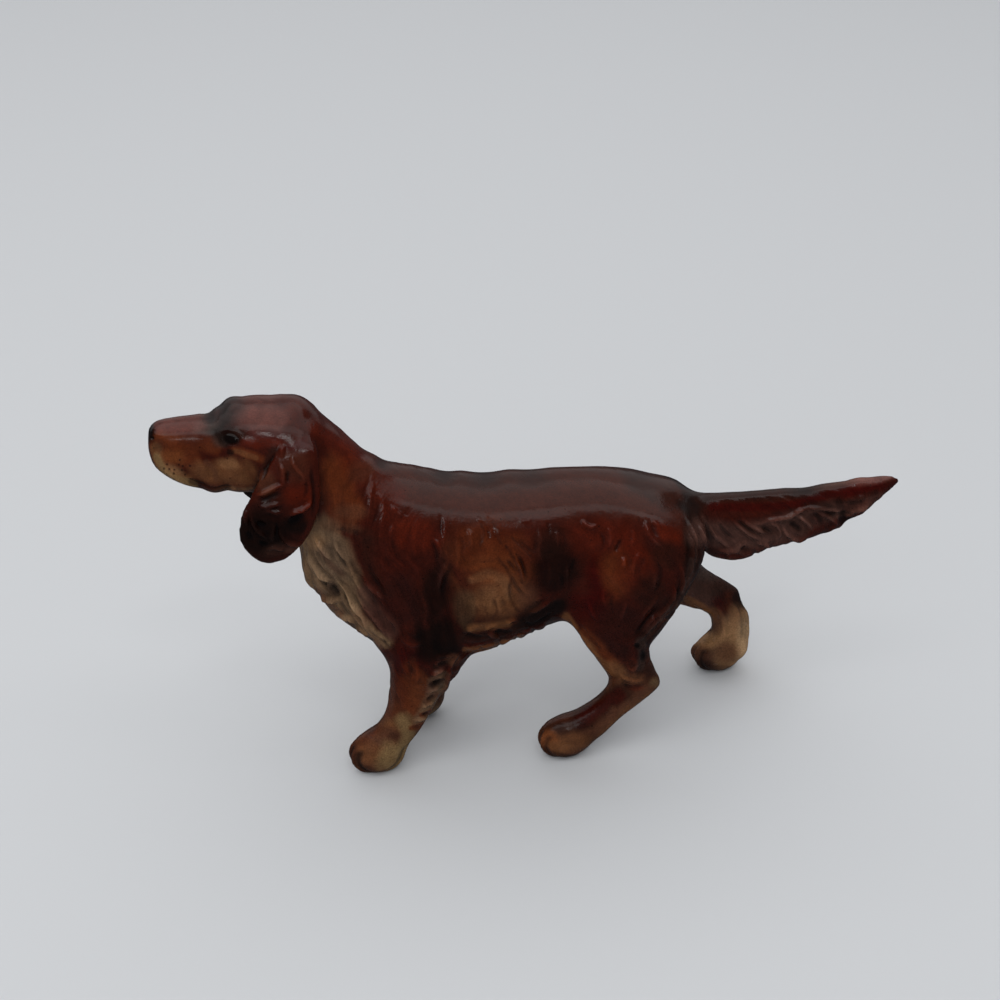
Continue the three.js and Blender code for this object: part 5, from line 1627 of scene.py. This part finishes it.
def painted_skin(points, normals, view, share, relief, comb):
    """The colour of each vertex under the glaze, as linear RGB."""
    column = view[:, 0]
    ragged = 0.6 * noise(points, *RAGGED_SPOTS) + 0.6 * noise(comb, *RAGGED_HAIR)
    ragged *= 1 - 0.75 * smoothstep(*TAIL_FADE, column)
    ear = share["ear"]
    coat = 1 - ear
    far_hind = share["far_hind"]
    colours = np.tile(linear(PAINT["mahogany"]), (len(points), 1))
    colours = covered(colours, "brown", 0.8 * smoothstep(*LEG_PAINT, points[:, 2]))
    upward = smoothstep(*BACK_UPWARD, normals[:, 2] + 0.08 * ragged) * coat
    back = upward * smoothstep(*BACK_FRONT_FADE, column) * smoothstep(*BACK_REAR_FADE, column)
    colours = covered(colours, "back", 0.8 * back)
    spray(colours, view, BODY_SPRAY, coat * (1 - far_hind), ragged)
    spray(colours, view, HEAD_SPRAY, coat * smoothstep(*HEAD_SPRAY_FADE, column), ragged)
    dots = [("umber", 0.8, u, v, WHISKER_SPOT, WHISKER_SPOT, 0) for u, v in WHISKERS]
    spray(colours, view, dots, coat, 0 * ragged)
    along, across = from_eye(view)
    eye = np.hypot(along / PAINTED_EYE[0], across / PAINTED_EYE[1]) + 0.15 * ragged
    away = (view - NOSE) / PAINTED_NOSE
    nose = np.hypot(away[:, 0], away[:, 1]) + 0.1 * ragged
    blackened = np.maximum(smoothstep(*EYE_EDGE, eye), smoothstep(*NOSE_EDGE, nose)) * coat
    colours = covered(colours, "black", 0.97 * blackened, 0.6)
    real = in_view(points, False)
    colours = covered(colours, "mauve", far_hind, 0.7)
    spray(colours, real, FAR_HIND_SPRAY, far_hind, 0.5 * ragged)
    spray(colours, real, FAR_FORELEG_SPRAY, share["far_foreleg"], ragged)
    colours = covered(colours, "mahogany", ear, 1.15)
    spray(colours, view, EAR_SPRAY, ear, 0.4 * ragged)
    # Painted highlight on the ridges and painted shade in the grooves, from the relief's height
    tone = 1 + relief * np.where(relief > 0, RIDGE_HIGHLIGHT, GROOVE_SHADE)
    colours *= np.clip(tone, *TONE_LIMITS)[:, None]
    # A grey painted highlight on the highest ridges
    colours = covered(colours, "grey", 0.12 * smoothstep(*GREY_RIDGE_HIGHLIGHT, relief) * coat)
    return np.clip(colours, 0.001, 0.9)


def build_figurine():
    """The nine castings, each a closed and glazed skin that stands in for its CAD solid."""
    points, faces, near = shaped_skin()
    normals = vertex_normals(points, faces)
    share = owners(points, near)
    view = reference_places(points, share)
    comb = combed(points)
    long_coat = coat_share(points, view, normals, share)
    relief = carved_relief(points, normals, faces, view, share, comb, long_coat)
    settle = smoothstep(*SOLE_RELIEF, points[:, 2])
    carved = points + normals * (relief * settle)[:, None]
    carved = relax(carved, faces, 1, 0.25)
    carved[:, 2] = np.where(points[:, 2] < SOLE_LIMIT, 0, np.maximum(carved[:, 2], 0))
    colours = painted_skin(points, normals, view, share, relief, comb)
    scalars = casting_scalars(points, near)
    table = np.hstack([carved, vertex_normals(carved, faces), colours, relief[:, None], comb,
                       long_coat[:, None]])
    table, faces, labels = part_skin(table, faces, scalars)
    for number, (name, slot) in enumerate(CASTINGS.items()):
        mesh = casting_mesh(name, table, faces[labels == number])
        piece = bpy.data.objects.new(name + "_skin", mesh)
        bpy.context.collection.objects.link(piece)
        mesh.materials.append(glaze(slot))
        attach(piece, "root")
        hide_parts(name)


# Glaze

# How strongly the sprayed grain varies the colour, and how rough the clean glaze is
SPECKLE = {"body_glaze": 0.2, "head_glaze": 0.16, "ear_glaze": 0.14, "tail_glaze": 0.2,
           "leg_glaze": 0.24}
BASE_ROUGHNESS = {"body_glaze": 0.15, "head_glaze": 0.16, "ear_glaze": 0.12, "tail_glaze": 0.15,
                  "leg_glaze": 0.19}

# Strands of hair as (mm across, mm along, weight)
STRANDS = ((1.1, 7.0, 0.4), (0.5, 4.0, 0.25))

# Patterns per metre
GRAIN_SCALE = 2600
PEEL_SCALE = 700
MOTTLE_SCALE = 420
PINHOLE_SCALE = 330.0
SMEAR_SCALE = 160
CLOUD_SCALE = 90

GLAZE_IOR = 1.37
BUMP_STRENGTH = 0.5
BUMP_DISTANCE = 0.00008

# The glazes that are made so far, by slot
MADE = {}


def node(tree, kind, **values):
    """A new node with its sockets' values, or its attribute's name or operation, set."""
    made = tree.nodes.new(kind)
    for key, value in values.items():
        if key in ("attribute_name", "operation"):
            setattr(made, key, value)
        else:
            made.inputs[key.replace("_", " ").title()].default_value = value
    return made


def ranged(tree, source, low, high, to_low, to_high):
    """A value from low to high, brought to the range from to_low to to_high."""
    made = tree.nodes.new("ShaderNodeMapRange")
    for name, value in (("From Min", low), ("From Max", high), ("To Min", to_low),
                        ("To Max", to_high)):
        made.inputs[name].default_value = value
    tree.links.new(source, made.inputs["Value"])
    return made.outputs["Result"]


def arithmetic(tree, operation, first, second):
    """The sum or product of two values, each of them a number or a socket."""
    made = node(tree, "ShaderNodeMath", operation=operation)
    for socket, value in zip(made.inputs, (first, second)):
        if isinstance(value, (int, float)):
            socket.default_value = value
        else:
            tree.links.new(value, socket)
    return made.outputs["Value"]


def noise_node(tree, place, per_metre, detail=2.0):
    """Noise from 0 to 1."""
    made = node(tree, "ShaderNodeTexNoise", Scale=per_metre, Detail=detail, Roughness=0.55)
    tree.links.new(place, made.inputs["Vector"])
    return made.outputs["Fac"]


def hair_pattern(tree):
    """Fine strands above and below zero that follow the coat and fade where it is short."""
    comb = node(tree, "ShaderNodeAttribute", attribute_name="comb").outputs["Vector"]
    coat = node(tree, "ShaderNodeAttribute", attribute_name="coat").outputs["Fac"]
    total = None
    for across, along, weight in STRANDS:
        stretched = node(tree, "ShaderNodeVectorMath", operation="MULTIPLY")
        stretched.inputs[1].default_value = (1 / across, 0.05, 1 / along)
        tree.links.new(comb, stretched.inputs[0])
        strands = ranged(tree, noise_node(tree, stretched.outputs["Vector"], 1.0, 1.5),
                         0.25, 0.75, -weight, weight)
        total = strands if total is None else arithmetic(tree, "ADD", total, strands)
    return arithmetic(tree, "MULTIPLY", total, coat)


def glaze(slot):
    """Airbrushed colour under a clear glaze, with the grain of the spray and pinholes."""
    if slot in MADE:
        return MADE[slot]
    material = bpy.data.materials.new(slot)
    material.use_nodes = True
    tree = material.node_tree
    shader = tree.nodes["Principled BSDF"]
    place = tree.nodes.new("ShaderNodeTexCoord").outputs["Object"]
    paint = node(tree, "ShaderNodeAttribute", attribute_name="paint").outputs["Color"]
    relief = node(tree, "ShaderNodeAttribute", attribute_name="relief").outputs["Fac"]
    speckle = SPECKLE[slot]
    sprayed = noise_node(tree, place, GRAIN_SCALE, 1.0)
    pits = node(tree, "ShaderNodeTexVoronoi", Scale=PINHOLE_SCALE)
    tree.links.new(place, pits.inputs["Vector"])
    pinhole = ranged(tree, pits.outputs["Distance"], 0.05, 0.09, 0.45, 1.0)
    hair = hair_pattern(tree)
    tone = ranged(tree, sprayed, 0.3, 0.7, 1 - speckle, 1 + speckle)
    for pattern in (ranged(tree, noise_node(tree, place, MOTTLE_SCALE), 0.3, 0.7, 0.86, 1.14),
                    ranged(tree, noise_node(tree, place, CLOUD_SCALE), 0.3, 0.7, 0.92, 1.08),
                    pinhole, ranged(tree, hair, -1.0, 1.0, 0.62, 1.42)):
        tone = arithmetic(tree, "MULTIPLY", tone, pattern)
    toned = node(tree, "ShaderNodeVectorMath", operation="SCALE")
    tree.links.new(paint, toned.inputs[0])
    tree.links.new(tone, toned.inputs["Scale"])
    tree.links.new(toned.outputs["Vector"], shader.inputs["Base Color"])
    smear = ranged(tree, noise_node(tree, place, SMEAR_SCALE), 0.35, 0.7, 0.0, 0.09)
    dust = ranged(tree, relief, 0.0, -0.5, 0.0, 0.16)
    rough = arithmetic(tree, "ADD", arithmetic(tree, "ADD", smear, dust), BASE_ROUGHNESS[slot])
    tree.links.new(rough, shader.inputs["Roughness"])
    surface = noise_node(tree, place, PEEL_SCALE)
    for pattern in (arithmetic(tree, "MULTIPLY", sprayed, 0.35), pinhole,
                    arithmetic(tree, "MULTIPLY", hair, 1.6)):
        surface = arithmetic(tree, "ADD", surface, pattern)
    bump = node(tree, "ShaderNodeBump", Strength=BUMP_STRENGTH, Distance=BUMP_DISTANCE)
    tree.links.new(surface, bump.inputs["Height"])
    tree.links.new(bump.outputs["Normal"], shader.inputs["Normal"])
    shader.inputs["IOR"].default_value = GLAZE_IOR
    MADE[slot] = material
    return material


# Floor, light and camera

FLOOR_SIZE = 8
FLOOR_COLOUR = (0.56, 0.57, 0.58, 1)
FLOOR_ROUGHNESS = 0.7
FLOOR_SHINE = 0.2

# The sky's colour, and its strength where it lights a surface and where it is mirrored by one
SKY_COLOUR = (0.9, 0.93, 1.0, 1)
SKY_STRENGTH = 0.28
MIRRORED_STRENGTH = 0.05

# Lamps as (place and target in metres, width, depth, radiance, whether surfaces mirror them)
LAMPS = {
    "ceiling": ((0, 0.9, 1.5), (0, 0.9, 0), 3.6, 2.1, 0.7, True),
    "strip": ((0, -0.45, 1.5), (0, -0.2, 0), 3.0, 0.45, 1.25, True),
    "wall": ((0, 2.1, 0.75), (0, 0, 0.1), 4.0, 1.5, 0.26, True),
    "lift": ((0, 0.5, 1.4), (0, 0.3, 0), 2.4, 2.0, 0.35, False),
    "key": ((-0.5, -0.65, 1.15), (0, 0, 0.05), 1.3, 1.0, 1.5, False),
    "window": ((0.1, -0.85, 1.3), (0, 0, 0.05), 0.25, 0.12, 9.0, True),
    "pane": ((-0.35, -1.0, 1.0), (0, 0, 0.05), 0.2, 0.15, 6.0, True),
    "room": ((-0.9, -1.3, 0.7), (0, 0, 0.05), 1.4, 1.1, 0.75, False),
}

SENSOR_WIDTH = 36
NEAREST_SEEN = 0.01


def posed(place, side, up, forward):
    """The matrix of a lamp or camera at a place in metres that looks forward."""
    turn = Matrix([list(row) for row in np.array([side, up, -forward]).T])
    return Matrix.Translation(place) @ turn.to_4x4()


def aimed(place, target):
    """The matrix of a lamp at a place that shines at a target, both in metres."""
    forward = np.array(target) - np.array(place)
    forward /= np.linalg.norm(forward)
    helper = [0, 1.0, 0] if abs(forward[2]) > 0.95 else [0, 0, 1.0]
    side = np.cross(forward, helper)
    side /= np.linalg.norm(side)
    return posed(place, side, np.cross(side, forward), forward)


def softbox(name, place, target, width, depth, radiance, glossy):
    """A rectangular lamp. Its power follows from the radiance that it is to have."""
    lamp = bpy.data.lights.new(name, "AREA")
    lamp.shape = "RECTANGLE"
    lamp.size = width
    lamp.size_y = depth
    lamp.energy = radiance * math.pi * width * depth
    holder = bpy.data.objects.new(name, lamp)
    holder.visible_glossy = glossy
    holder.visible_camera = False
    bpy.context.collection.objects.link(holder)
    holder.matrix_world = aimed(place, target)


def background(tree, strength):
    """The sky's light at a strength."""
    made = tree.nodes.new("ShaderNodeBackground")
    made.inputs["Color"].default_value = SKY_COLOUR
    made.inputs["Strength"].default_value = strength
    return made.outputs[0]


def studio():
    """A plain table under a pale sky, with lamps that are mirrored where the photograph's are."""
    bpy.ops.mesh.primitive_plane_add(size=FLOOR_SIZE)
    floor = bpy.context.object
    floor.name = "floor"
    paint = bpy.data.materials.new("floor")
    paint.use_nodes = True
    shader = paint.node_tree.nodes["Principled BSDF"]
    shader.inputs["Base Color"].default_value = FLOOR_COLOUR
    shader.inputs["Roughness"].default_value = FLOOR_ROUGHNESS
    shader.inputs["Specular IOR Level"].default_value = FLOOR_SHINE
    floor.data.materials.append(paint)
    floor.visible_glossy = False
    world = bpy.data.worlds.new("studio")
    world.use_nodes = True
    tree = world.node_tree
    chosen = tree.nodes.new("ShaderNodeMixShader")
    path = tree.nodes.new("ShaderNodeLightPath")
    tree.links.new(path.outputs["Is Glossy Ray"], chosen.inputs[0])
    tree.links.new(background(tree, SKY_STRENGTH), chosen.inputs[1])
    tree.links.new(background(tree, MIRRORED_STRENGTH), chosen.inputs[2])
    tree.links.new(chosen.outputs[0], tree.nodes["World Output"].inputs["Surface"])
    bpy.context.scene.world = world
    for name, lamp in LAMPS.items():
        softbox(name, *lamp)


def camera():
    """The photograph's camera, so that the picture is the reference view."""
    data = bpy.data.cameras.new("camera")
    data.sensor_width = SENSOR_WIDTH
    data.lens = SENSOR_WIDTH * FOCAL_PIXELS / PICTURE_WIDTH
    data.clip_start = NEAREST_SEEN
    holder = bpy.data.objects.new("camera", data)
    holder.matrix_world = posed(list(CAMERA * MM), RIGHT, UP, FORWARD)
    bpy.context.collection.objects.link(holder)
    bpy.context.scene.camera = holder


build_figurine()
studio()
camera()
bpy.context.scene.view_settings.view_transform = "Standard"
